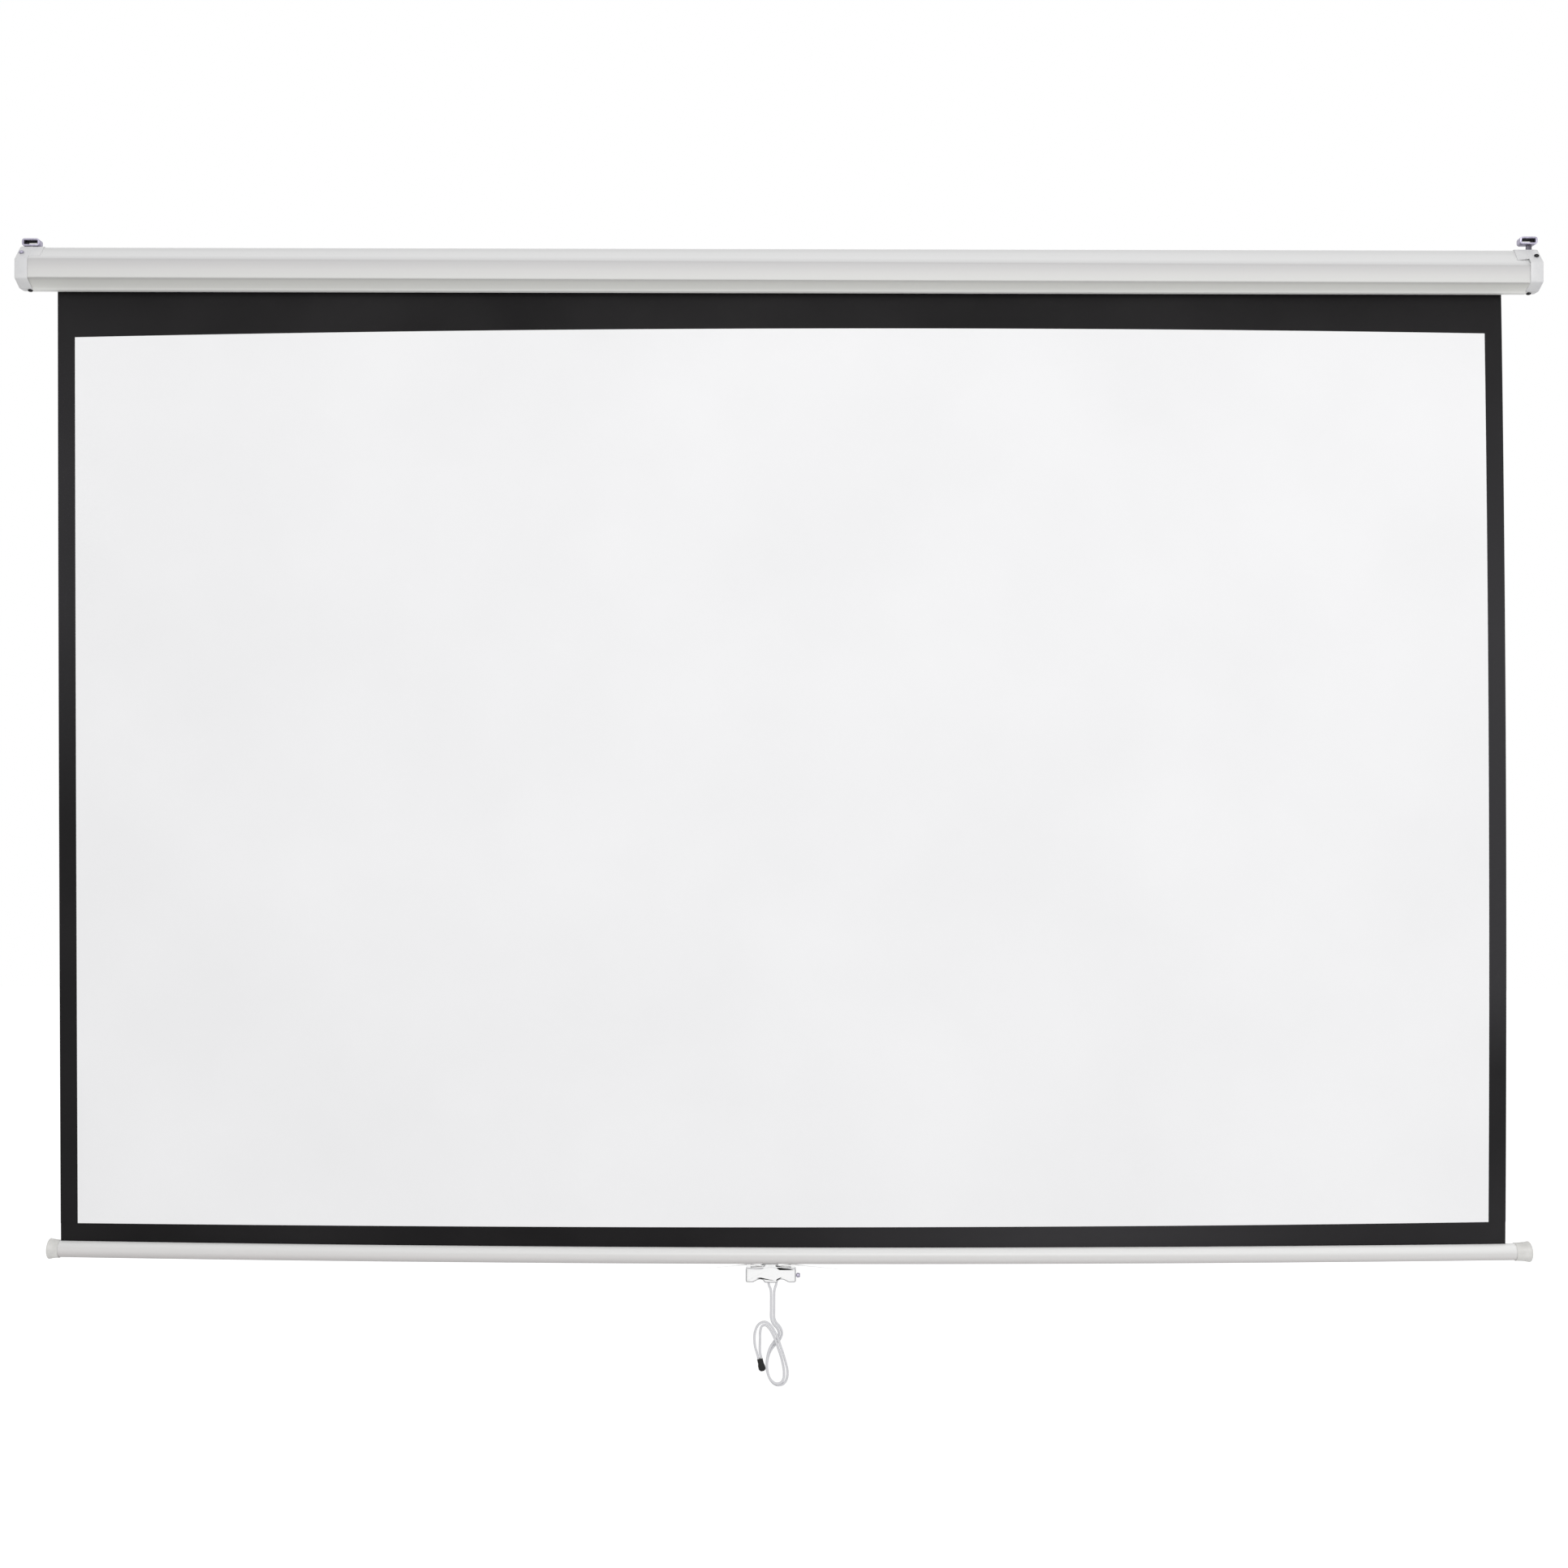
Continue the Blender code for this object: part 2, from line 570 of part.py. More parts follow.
def make_end_cap(side, finish):
    """A moulded cap: skirt over the shell, spigot inside it, ribs, bosses and a tongue."""
    skirt = GAP + CAP_WALL
    inside = -(CASE_WALL + GAP)
    mouth = side * (CAP_INNER_X - CUT)
    edge = [
        (CAP_INNER_X, skirt),
        (CASE_END - CAP_EDGE, skirt),
        (CASE_END - CAP_EDGE * 0.3, skirt - CAP_EDGE * 0.3),
        (CASE_END, skirt - CAP_EDGE),
    ]
    outside = loft([(side * x, case_outline(offset)) for x, offset in edge], "X")
    cap = add("end_cap_left" if side < 0 else "end_cap_right", outside, finish)
    tongue_path = [
        (-CASE_DEPTH + UPPER_SLOPE_DEPTH + TONGUE_TOP, CASE_TOP),
        (-CASE_DEPTH + UPPER_SLOPE_DEPTH, CASE_TOP),
        slope_point(TONGUE_SHARE),
    ]
    tongue = strip(tongue_path, GAP + TONGUE_WALL, -GAP)
    tongue_end = CAP_INNER_X - TONGUE_LENGTH
    combine(cap, prism(tongue, "X", side * tongue_end, side * (CAP_INNER_X + CUT)), "UNION")
    room = prism(case_outline(GAP), "X", side * (tongue_end - CUT), side * CAP_PLATE_X)
    combine(cap, room)

    spigot_length = sorted((side * CAP_INNER_X, side * (CAP_PLATE_X + GAP)))
    spigot = add("spigot", prism(case_outline(inside), "X", *spigot_length), finish)
    hollow = case_outline(inside - SPIGOT_WALL)
    combine(spigot, prism(hollow, "X", mouth, side * (CASE_END + CUT)))
    apply_boolean(cap, spigot, "UNION")

    for form in cap_frame_forms(side):
        combine(cap, form, "UNION")
    inward = (side, 0, 0)
    axis = Vector((side * BOSS_X, ROLLER_Y, ROLLER_Z))
    boss = rod(axis, inward, BOSS_REACH + CAP_LENGTH - CAP_END_WALL + GAP, BOSS_RADIUS, 24)
    combine(cap, boss, "UNION")
    hem_front = SLOT_FRONT - BEND_RADIUS - GAP
    hem_rear = SLOT_REAR + BEND_RADIUS + GAP
    hem_top = underside(SLOT_REAR) + SLOT_HEM + GAP
    hem_room = [
        (hem_front, CASE_BOTTOM),
        (SLOT_FRONT, CASE_BOTTOM),
        (hem_rear, underside(hem_rear)),
        (hem_rear, hem_top),
        (hem_front, hem_top),
    ]
    combine(cap, prism(hem_room, "X", mouth, side * CAP_PLATE_X))
    behind_wall = box(sorted((mouth, side * (CASE_END + CUT))), (0.0, 2 * CUT), (-CAP_TOP, CAP_TOP))
    combine(cap, behind_wall)
    for line in (top_screw_line(side), bottom_screw_line(side)):
        combine(cap, screw_bore(line))
    for form in stem_pocket(side):
        combine(cap, form)
    if side < 0:
        bore = IDLER_PIN_RADIUS + GAP + BUSH_WALL + GAP
        start = axis - Vector(inward) * CUT
        combine(cap, rod(start, inward, CUT + IDLER_PIN_IN_CAP + 2 * GAP, bore, 24))
    else:
        socket = rectangle(
            BLADE_THICKNESS + 2 * GAP, BLADE_WIDTH + 2 * GAP, (ROLLER_Y, ROLLER_Z)
        )
        combine(cap, prism(socket, "X", BOSS_X - CUT, BOSS_X + SOCKET_DEPTH))
    return cap


def slope_point(share):
    """A point on the front of the upper slope, a share of the way down it."""
    y = -CASE_DEPTH + UPPER_SLOPE_DEPTH * (1 - share)
    return y, CASE_TOP - UPPER_SLOPE_RISE * share


def make_screw(name, line, finish, head, shank, head_height, length, parent=None):
    """A round-headed screw; its line starts where the head rests."""
    seat, inward = line
    profile = [
        (0, 0),
        (0, head * 0.55),
        (head_height * 0.3, head * 0.88),
        (head_height * 0.7, head),
        (head_height, head),
        (head_height, shank),
        (head_height + length - shank, shank),
        (head_height + length, shank * 0.4),
        (head_height + length, 0),
    ]
    made = lathe(profile, Vector(seat) - Vector(inward) * head_height, inward, 16)
    return add(name, made, finish, parent, smooth=True)


def rounded_rectangle(width, height, radius, middle):
    return rounded(rectangle(width, height, middle), radius)


def make_hanger(side, steel, nylon):
    """A strap loop with its stem and foot, drawn in its lowered place, and its insert."""
    name = "left" if side < 0 else "right"
    base = CAP_TOP + GAP
    lift = RIGHT_HANGER_LIFT if side > 0 else 0.0
    axis = axis_empty(f"hanger_slide_{name}", (side * (CASE_END - STEM_INSET), LOOP_Y, base))
    middle = (side * (CASE_END - LOOP_INSET), base + LOOP_HEIGHT / 2)
    y = (LOOP_Y - LOOP_DEPTH / 2, LOOP_Y + LOOP_DEPTH / 2)

    outer = rounded_rectangle(LOOP_WIDTH, LOOP_HEIGHT, LOOP_CORNER, middle)
    inner_size = (LOOP_WIDTH - 2 * STRAP_WALL, LOOP_HEIGHT - 2 * STRAP_WALL)
    inner = rounded_rectangle(*inner_size, LOOP_CORNER - STRAP_WALL, middle)
    loop = add(f"hanger_loop_{name}", prism(outer, "Y", *y), steel, axis)
    combine(loop, prism(inner, "Y", y[0] - CUT, y[1] + CUT))
    stem_x = side * (CASE_END - STEM_INSET)
    half = STEM_THICKNESS / 2
    foot_top = stem_bottom() + FOOT_HEIGHT
    stem = box(
        (stem_x - STEM_WIDTH / 2, stem_x + STEM_WIDTH / 2),
        (LOOP_Y - half, LOOP_Y + half),
        (foot_top - FOOT_HEIGHT / 2, base + STRAP_WALL / 2),
    )
    foot = box(
        (stem_x - FOOT_WIDTH / 2, stem_x + FOOT_WIDTH / 2),
        (LOOP_Y - half, LOOP_Y + half),
        (stem_bottom(), foot_top),
    )
    combine(loop, stem, "UNION")
    combine(loop, foot, "UNION")

    fit = 2 * (STRAP_WALL + GAP)
    fill = rounded_rectangle(
        LOOP_WIDTH - fit, LOOP_HEIGHT - fit, LOOP_CORNER - STRAP_WALL - GAP, middle
    )
    bush = add(f"hanger_bush_{name}", prism(fill, "Y", *y), nylon, axis)
    eye = rounded_rectangle(EYE_WIDTH, EYE_HEIGHT, EYE_HEIGHT * 0.45, middle)
    combine(bush, prism(eye, "Y", y[0] - CUT, y[1] + CUT))
    axis.location.z += lift
    return axis


def make_idler(axis, nylon, steel):
    """The roller's left bearing: a plug and pin that turn, in a bush that stands still."""
    flange_x = ROLLER_LEFT - GAP - PLUG_FLANGE
    inner = IDLER_PIN_RADIUS + GAP
    plug = [
        (0, inner),
        (0, ROLLER_RADIUS),
        (PLUG_FLANGE, ROLLER_RADIUS),
        (PLUG_FLANGE, ROLLER_BORE - GAP),
        (PLUG_LENGTH, ROLLER_BORE - GAP),
        (PLUG_LENGTH, inner),
    ]
    start = Vector((flange_x, ROLLER_Y, ROLLER_Z))
    add("idler_plug", lathe(plug, start, (1, 0, 0), closed=True), nylon, axis, smooth=True)
    low = -BOSS_X - IDLER_PIN_IN_CAP + GAP
    high = flange_x + IDLER_PIN_IN_PLUG
    pin = rod((low, ROLLER_Y, ROLLER_Z), (1, 0, 0), high - low, IDLER_PIN_RADIUS, 20)
    add("idler_pin", pin, steel, axis, smooth=True)
    sleeve = [
        (0, inner),
        (0, inner + BUSH_WALL),
        (IDLER_PIN_IN_CAP, inner + BUSH_WALL),
        (IDLER_PIN_IN_CAP, BOSS_RADIUS),
        (IDLER_PIN_IN_CAP + BUSH_FLANGE, BOSS_RADIUS),
        (IDLER_PIN_IN_CAP + BUSH_FLANGE, inner),
    ]
    start = Vector((-BOSS_X - IDLER_PIN_IN_CAP + GAP, ROLLER_Y, ROLLER_Z))
    add("idler_bush", lathe(sleeve, start, (1, 0, 0), closed=True), nylon, smooth=True)


def make_roller(axis, steel, cloth):
    start = (ROLLER_LEFT, ROLLER_Y, ROLLER_Z)
    length = ROLLER_RIGHT - ROLLER_LEFT
    core = tube(start, (1, 0, 0), length, ROLLER_RADIUS, ROLLER_BORE, 28)
    add("roller_tube", core, steel, axis, smooth=True)
    start = (SHEET_LEFT, ROLLER_Y, ROLLER_Z)
    wraps = tube(start, (1, 0, 0), SHEET_WIDTH, WRAP_RADIUS, ROLLER_RADIUS + GAP, 28)
    add("screen_wraps", wraps, cloth, axis, smooth=True)


def on_wheel(radius, angle):
    """A point in y and z at a radius and an angle about the roller's axis."""
    return ROLLER_Y + radius * math.cos(angle), ROLLER_Z + radius * math.sin(angle)


def tip_lead(radius):
    """How far ahead of its pin a pawl's tip stands, as an angle about the roller's axis."""
    cosine = (PAWL_PIVOT**2 + radius**2 - PAWL_LENGTH**2) / (2 * PAWL_PIVOT * radius)
    return math.acos(cosine)


def make_lock(axis, steel, nylon):
    """Head plug, ratchet wheel and two pawls; the pawls stand swung clear of the wheel."""
    flange_x = ROLLER_RIGHT + GAP
    head = [
        (-PLUG_LENGTH, SPINDLE_RADIUS + GAP),
        (-PLUG_LENGTH, ROLLER_BORE - GAP),
        (0, ROLLER_BORE - GAP),
        (0, ROLLER_RADIUS),
        (PLUG_FLANGE, ROLLER_RADIUS),
        (PLUG_FLANGE, SPINDLE_RADIUS + GAP),
    ]
    start = Vector((flange_x, ROLLER_Y, ROLLER_Z))
    plug = add("roller_head", lathe(head, start, (1, 0, 0), closed=True), nylon, axis)

    clear = NOTCH_SHARE + PAWL_TIP_WIDTH / 2 / PAWL_LOCK_RADIUS
    outline = []
    for turn in (0, math.pi):
        wall = PAWL_ANGLE + turn + tip_lead(PAWL_LOCK_RADIUS) + clear
        for share in (1.0, 0.75, 0.5, 0.25, 0.0):
            radius = NOTCH_FLOOR + (RATCHET_RADIUS - NOTCH_FLOOR) * share
            outline.append(on_wheel(radius, wall - NOTCH_RAMP * share))
        steps = 8
        for k in range(steps):
            outline.append(on_wheel(RATCHET_RADIUS, wall + (math.pi - NOTCH_RAMP) * k / steps))
    wheel = prism(outline, "X", LOCK_X, LOCK_X + LOCK_THICKNESS)
    wheel = add("ratchet_wheel", wheel, steel)
    bore_start = (LOCK_X - CUT, ROLLER_Y, ROLLER_Z)
    bore_length = LOCK_THICKNESS + 2 * CUT
    combine(wheel, rod(bore_start, (1, 0, 0), bore_length, SPINDLE_RADIUS + GAP))

    for name, turn in (("upper", 0.0), ("lower", math.pi)):
        pivot = on_wheel(PAWL_PIVOT, PAWL_ANGLE + turn)
        tip = on_wheel(PAWL_REST_RADIUS, PAWL_ANGLE + turn + tip_lead(PAWL_REST_RADIUS))
        pin_start = Vector((flange_x - PLUG_FLANGE, *pivot))
        hole = rod(pin_start, (1, 0, 0), 2 * PLUG_FLANGE + CUT, PAWL_PIN_RADIUS + GAP, 12)
        combine(plug, hole)
        pin_length = 2 * PLUG_FLANGE + 2 * GAP + LOCK_THICKNESS
        pin = rod(pin_start + Vector((GAP, 0, 0)), (1, 0, 0), pin_length, PAWL_PIN_RADIUS, 12)
        add(f"pawl_pin_{name}", pin, steel, axis, smooth=True)

        hinge = axis_empty(f"pawl_axis_{name}", (LOCK_X, *pivot))
        eye = rod((LOCK_X, *pivot), (1, 0, 0), LOCK_THICKNESS, PAWL_EYE_RADIUS, 16)
        pawl = add(f"pawl_{name}", eye, steel, hinge)
        along = (Vector(tip) - Vector(pivot)).normalized()
        across = Vector((-along.y, along.x))
        base = Vector(pivot)
        end = Vector(tip)
        arm = [
            base - across * PAWL_EYE_RADIUS * 0.6,
            end - across * PAWL_TIP_WIDTH / 2,
            end + across * PAWL_TIP_WIDTH / 2,
            base + across * PAWL_EYE_RADIUS * 0.6,
        ]
        combine(pawl, prism(arm, "X", LOCK_X, LOCK_X + LOCK_THICKNESS), "UNION")
        bore = (LOCK_X - CUT, *pivot)
        combine(pawl, rod(bore, (1, 0, 0), bore_length, PAWL_PIN_RADIUS + GAP, 12))
        hang(hinge, axis)


def hang(child, parent):
    """Hang one joint's empty on another that carries it."""
    child.parent = parent
    child.location -= parent.location


def make_spring_drive(steel, nylon):
    """The fixed spindle and the winding spring, which is held at the spindle's inner end."""
    inner_x = BOSS_X - GAP - SPINDLE_LENGTH
    start = (inner_x, ROLLER_Y, ROLLER_Z)
    spindle = add("spring_spindle", rod(start, (1, 0, 0), SPINDLE_LENGTH, SPINDLE_RADIUS, 20), steel)
    blade = rectangle(BLADE_THICKNESS, BLADE_WIDTH, (ROLLER_Y, ROLLER_Z))
    blade_end = BOSS_X + SOCKET_DEPTH - GAP
    combine(spindle, prism(blade, "X", inner_x + SPINDLE_LENGTH / 2, blade_end), "UNION")

    hub = [
        (0, SPINDLE_RADIUS + GAP),
        (0, SPRING_RADIUS - SPRING_WIRE),
        (ANCHOR_LENGTH - 3 * SPRING_WIRE, SPRING_RADIUS - SPRING_WIRE),
        (ANCHOR_LENGTH - 3 * SPRING_WIRE, ROLLER_BORE - SPRING_WIRE),
        (ANCHOR_LENGTH, ROLLER_BORE - SPRING_WIRE),
        (ANCHOR_LENGTH, SPINDLE_RADIUS + GAP),
    ]
    add("spring_anchor", lathe(hub, start, (1, 0, 0), closed=True), nylon, smooth=True)

    low = inner_x + ANCHOR_LENGTH + GAP
    high = ROLLER_RIGHT + GAP - PLUG_LENGTH - GAP
    route = []
    count = SPRING_COILS * POINTS_PER_COIL
    lead = 1.5 * SPRING_WIRE
    for k in range(count + 1):
        angle = 2 * math.pi * k / POINTS_PER_COIL
        y = ROLLER_Y + SPRING_RADIUS * math.cos(angle)
        z = ROLLER_Z + SPRING_RADIUS * math.sin(angle)
        route.append(Vector((low + lead + (high - low - 2 * lead) * k / count, y, z)))
    route.insert(0, Vector((low, route[0].y, route[0].z)))
    route.append(Vector((high, route[-1].y, route[-1].z)))
    print("torsion_spring least gap, mm:", round(1000 * least_gap(route, route, SPRING_WIRE, 4), 2))
    return wire("torsion_spring", route, SPRING_WIRE, 1, steel)


def least_gap(first, second, diameter, near):
    """Least gap between two round tubes, or one tube and itself beyond its near points."""
    least = math.inf
    for i, here in enumerate(first):
        for j, there in enumerate(second):
            if first is second and abs(i - j) <= near:
                continue
            least = min(least, (here - there).length - diameter)
    return least


def wire(name, route, diameter, resolution, finish, parent=None):
    """A round wire or cord through a list of points."""
    curve = bpy.data.curves.new(name, "CURVE")
    curve.dimensions = "3D"
    curve.bevel_depth = diameter / 2
    curve.bevel_resolution = resolution
    curve.use_fill_caps = True
    spline = curve.splines.new("POLY")
    spline.points.add(len(route) - 1)
    origin = parent.location if parent is not None else Vector()
    for point, place in zip(spline.points, route):
        point.co = (*(place - origin), 1.0)
    made = bpy.data.objects.new(name, curve)
    made.parent = parent
    curve.materials.append(finish)
    bpy.context.collection.objects.link(made)
    return made


def bow_share(x):
    """1 at the bar's middle and 0 at its ends."""
    return 1 - ((x - BAR_SHIFT) / (BAR_LENGTH / 2)) ** 2


def bar_middle(x):
    """Height of the bowed tube's middle line."""
    return BAR_Z - BAR_BOW * bow_share(x)


def sheet_point(x, z, side):
    """A point on one face of the sheet, waved and bowed with the bar that it carries."""
    across = (x - SHEET_LEFT) / SHEET_WIDTH
    down = (CASE_BOTTOM - z) / (CASE_BOTTOM - BAR_Z - BAR_RADIUS)
    wave = 0.0
    if 0 < down < 1:
        phase = 2 * math.pi * WAVES * across + 1.3 * math.sin(math.pi * down)
        wave = WAVE_DEPTH * math.sin(phase) * math.sin(math.pi * down)
    if z <= VIEW_TOP:
        share = min(1.0, (VIEW_TOP - z) / (VIEW_TOP - BAR_Z - BAR_RADIUS))
        z += bow_share(x) * (HEADER_ARCH * (1 - share) - BAR_BOW * share)
    return x, SHEET_Y + wave + side * SHEET_THICKNESS / 2, z


def make_sheet(white, black):
    """One closed sheet of cloth, white where it is drawn on and black round the edge."""
    inner_columns = 18
    inner_rows = 12
    xs = [SHEET_LEFT]
    for k in range(inner_columns + 1):
        xs.append(SHEET_LEFT + SIDE_BORDER + VIEW_WIDTH * k / inner_columns)
    xs.append(SHEET_RIGHT)
    zs = [ROLLER_Z, CASE_BOTTOM]
    for k in range(inner_rows + 1):
        zs.append(VIEW_TOP - VIEW_HEIGHT * k / inner_rows)
    zs += [BAR_Z + BAR_RADIUS, BAR_Z + HEM_ROD_RISE + HEM_ROD_RADIUS + GAP]
    bm = bmesh.new()
    grid = {}
    for side in (-1, 1):
        for i, x in enumerate(xs):
            for j, z in enumerate(zs):
                grid[side, i, j] = bm.verts.new(sheet_point(x, z, side))
    last_i, last_j = len(xs) - 1, len(zs) - 1
    for i in range(last_i):
        for j in range(last_j):
            white_here = 1 <= i < last_i - 1 and 2 <= j < last_j - 2
            for side in (-1, 1):
                corners = [(i, j), (i + 1, j), (i + 1, j + 1), (i, j + 1)]
                face = bm.faces.new([grid[side, a, b] for a, b in corners])
                face.material_index = 0 if white_here and side < 0 else 1
                face.smooth = True
    rim = [(i, 0) for i in range(last_i)] + [(last_i, j) for j in range(last_j)]
    rim += [(i, last_j) for i in range(last_i, 0, -1)] + [(0, j) for j in range(last_j, 0, -1)]
    for here, there in zip(rim, rim[1:] + rim[:1]):
        quad = [grid[-1, *here], grid[-1, *there], grid[1, *there], grid[1, *here]]
        bm.faces.new(quad).material_index = 1
    sheet = add("screen_sheet", bm, white)
    sheet.data.materials.append(black)
    return sheet


def split_ring(outer, inner, slot, segments):
    """Outline of a tube with a slot along its top, about its own middle line."""
    path = []
    for radius, step in ((outer, 1), (inner, -1)):
        half = math.asin(slot / 2 / radius)
        sweep = 2 * math.pi - 2 * half
        for k in range(segments + 1)[::step]:
            angle = math.pi / 2 + half + sweep * k / segments
            path.append((radius * math.cos(angle), radius * math.sin(angle)))
    return path


def along_bar(outline, low, high, rise=0.0):
    """A solid with one outline all along the bow of the bar."""
    sections = []
    for k in range(BAR_STATIONS + 1):
        x = low + (high - low) * k / BAR_STATIONS
        z = bar_middle(x) + rise
        sections.append((x, [(SHEET_Y + p[0], z + p[1]) for p in outline]))
    return loft(sections, "X")


def make_bar(axis, white, moulded, steel):
    """The slotted tube at the sheet's foot, its hem rod and its flared caps."""
    left = BAR_SHIFT - BAR_LENGTH / 2
    right = BAR_SHIFT + BAR_LENGTH / 2
    inset = BAR_CAP_END_WALL + GAP
    outline = split_ring(BAR_RADIUS, BAR_BORE, BAR_SLOT, 28)
    bar = add("weight_bar", along_bar(outline, left + inset, right - inset), white, axis)
    for side in (-1, 1):
        x = GRIP_X + side * GRIP_FOOT_X
        radius = GRIP_SCREW_SHANK_RADIUS + GAP
        start = (x, SHEET_Y, BAR_BOTTOM - CUT)
        combine(bar, rod(start, (0, 0, 1), 3 * CUT, radius, 12))
    circle = []
    for k in range(12):
        angle = 2 * math.pi * k / 12
        circle.append((HEM_ROD_RADIUS * math.cos(angle), HEM_ROD_RADIUS * math.sin(angle)))
    rod_form = along_bar(circle, SHEET_LEFT, SHEET_RIGHT, HEM_ROD_RISE)
    add("hem_rod", rod_form, steel, axis, smooth=True)
    for side in (-1, 1):
        make_bar_cap(side, right if side > 0 else left, moulded, axis)


def make_bar_cap(side, end, finish, axis):
    """A cap whose sleeve flares towards its rim, with a low dome over its end."""
    bore = BAR_RADIUS + GAP
    thin = bore + BAR_CAP_WALL
    rim = thin + BAR_CAP_FLARE
    total = BAR_CAP_LENGTH + BAR_CAP_DOME
    socket = total - BAR_CAP_END_WALL
    profile = [
        (0, bore),
        (0, thin),
        (BAR_CAP_LENGTH * 0.35, thin + BAR_CAP_FLARE * 0.12),
        (BAR_CAP_LENGTH * 0.65, thin + BAR_CAP_FLARE * 0.42),
        (BAR_CAP_LENGTH * 0.88, thin + BAR_CAP_FLARE * 0.85),
        (BAR_CAP_LENGTH, rim),
        (BAR_CAP_LENGTH + BAR_CAP_DOME * 0.35, rim * 0.955),
        (BAR_CAP_LENGTH + BAR_CAP_DOME * 0.75, rim * 0.80),
        (total, rim * 0.5),
        (total, 0),
        (socket, 0),
        (socket, bore),
    ]
    mouth = end - side * total
    start = Vector((mouth, SHEET_Y, bar_middle(mouth)))
    tilt = bar_middle(mouth + side * total) - bar_middle(mouth)
    name = "bar_cap_left" if side < 0 else "bar_cap_right"
    turned = lathe(profile, start, (side * total, 0, tilt), 28, closed=True)
    cap = add(name, turned, finish, axis)
    slit = box(
        sorted((start.x - side * CUT, start.x + side * BAR_CAP_SLIT)),
        (SHEET_Y - BAR_SLOT / 2, SHEET_Y + BAR_SLOT / 2),
        (start.z + bore - CUT, start.z + rim + CUT),
    )
    combine(cap, slit)


def make_grip(axis, moulded, steel, zinc):
    """The pull grip: a waisted bar with two feet and a saddle that meet the tube."""
    half_foot = GRIP_FOOT_WIDTH / 2
    saddle = GRIP_SADDLE_HALF_WIDTH
    boss = GRIP_BOSS_HALF_WIDTH
    right = [
        (boss, -GRIP_BOSS_DROP),
        (boss + 0.002, -GRIP_WAIST - 0.0015),
        (boss + 0.006, -GRIP_WAIST),
        (GRIP_HALF_WIDTH * 0.52, -GRIP_WAIST - 0.0008),
        (GRIP_HALF_WIDTH * 0.72, -GRIP_DROP),
        (GRIP_HALF_WIDTH, -GRIP_DROP),
        (GRIP_HALF_WIDTH, -FINGER_GAP),
        (saddle + 0.0045, -FINGER_GAP),
        (saddle, FINGER_GAP / 2),
    ]
    corners = right + [(-x, z) for x, z in right[::-1]]
    corners = [(GRIP_X + x, BAR_BOTTOM + z) for x, z in corners]
    sections = []
    for depth, inset in ((0.5, GRIP_EDGE), (0.5 - GRIP_EDGE * 0.3 / GRIP_THICKNESS, GRIP_EDGE * 0.3)):
        sections.append((SHEET_Y - GRIP_THICKNESS * depth, rounded(corners, GRIP_CORNER, -inset)))
    middle_depth = 0.5 - GRIP_EDGE / GRIP_THICKNESS
    sections.append((SHEET_Y - GRIP_THICKNESS * middle_depth, rounded(corners, GRIP_CORNER)))
    sections += [(2 * SHEET_Y - y, outline) for y, outline in sections[::-1]]
    grip = add("pull_handle", loft(sections, "Y"), moulded, axis)
    for side in (-1, 1):
        x = GRIP_X + side * GRIP_FOOT_X
        foot = box(
            (x - half_foot, x + half_foot),
            (SHEET_Y - GRIP_FOOT_DEPTH / 2, SHEET_Y + GRIP_FOOT_DEPTH / 2),
            (BAR_BOTTOM - FINGER_GAP - CUT, BAR_BOTTOM + FINGER_GAP / 2),
        )
        combine(grip, foot, "UNION")
    reach = GRIP_HALF_WIDTH + CUT
    saddle_cut = rod(
        (GRIP_X - reach, SHEET_Y, BAR_AT_GRIP), (1, 0, 0), 2 * reach, BAR_RADIUS + GAP, 56
    )
    combine(grip, saddle_cut)
    seat_z = BAR_BOTTOM - GRIP_SCREW_SEAT
    for side, name in ((-1, "left"), (1, "right")):
        x = GRIP_X + side * GRIP_FOOT_X
        up = Vector((0, 0, 1))
        seat = Vector((x, SHEET_Y, seat_z))
        shank = GRIP_SCREW_SHANK_RADIUS + GAP
        combine(grip, rod(seat, up, GRIP_SCREW_SEAT + 2 * CUT, shank, 12))
        head = GRIP_SCREW_HEAD_RADIUS + GAP
        head_start = Vector((x, SHEET_Y, BAR_BOTTOM - GRIP_DROP - CUT))
        combine(grip, rod(head_start, up, seat_z - head_start.z, head, 16))
        length = GRIP_SCREW_SEAT + GRIP_SCREW_REACH
        make_screw(
            f"handle_screw_{name}",
            (seat - up * GAP, up),
            steel,
            GRIP_SCREW_HEAD_RADIUS,
            GRIP_SCREW_SHANK_RADIUS,
            SCREW_HEAD_HEIGHT,
            length,
            axis,
        )
    stud_z = BAR_BOTTOM - STUD_DROP
    end = GRIP_X + GRIP_HALF_WIDTH
    hole = rod((end - STUD_SEAT - GAP, SHEET_Y, stud_z), (1, 0, 0), 2 * CUT, STUD_RADIUS * 0.6 + GAP)
    combine(grip, hole)
    stud = [
        (0, 0),
        (0, STUD_RADIUS * 0.6),
        (STUD_SEAT + GAP, STUD_RADIUS * 0.6),
        (STUD_SEAT + GAP, STUD_RADIUS),
        (STUD_SEAT + STUD_REACH * 0.7, STUD_RADIUS),
        (STUD_SEAT + STUD_REACH, STUD_RADIUS * 0.7),
        (STUD_SEAT + STUD_REACH, 0),
    ]
    start = Vector((end - STUD_SEAT, SHEET_Y, stud_z))
    add("handle_stud", lathe(stud, start, (1, 0, 0), 16), zinc, axis, smooth=True)


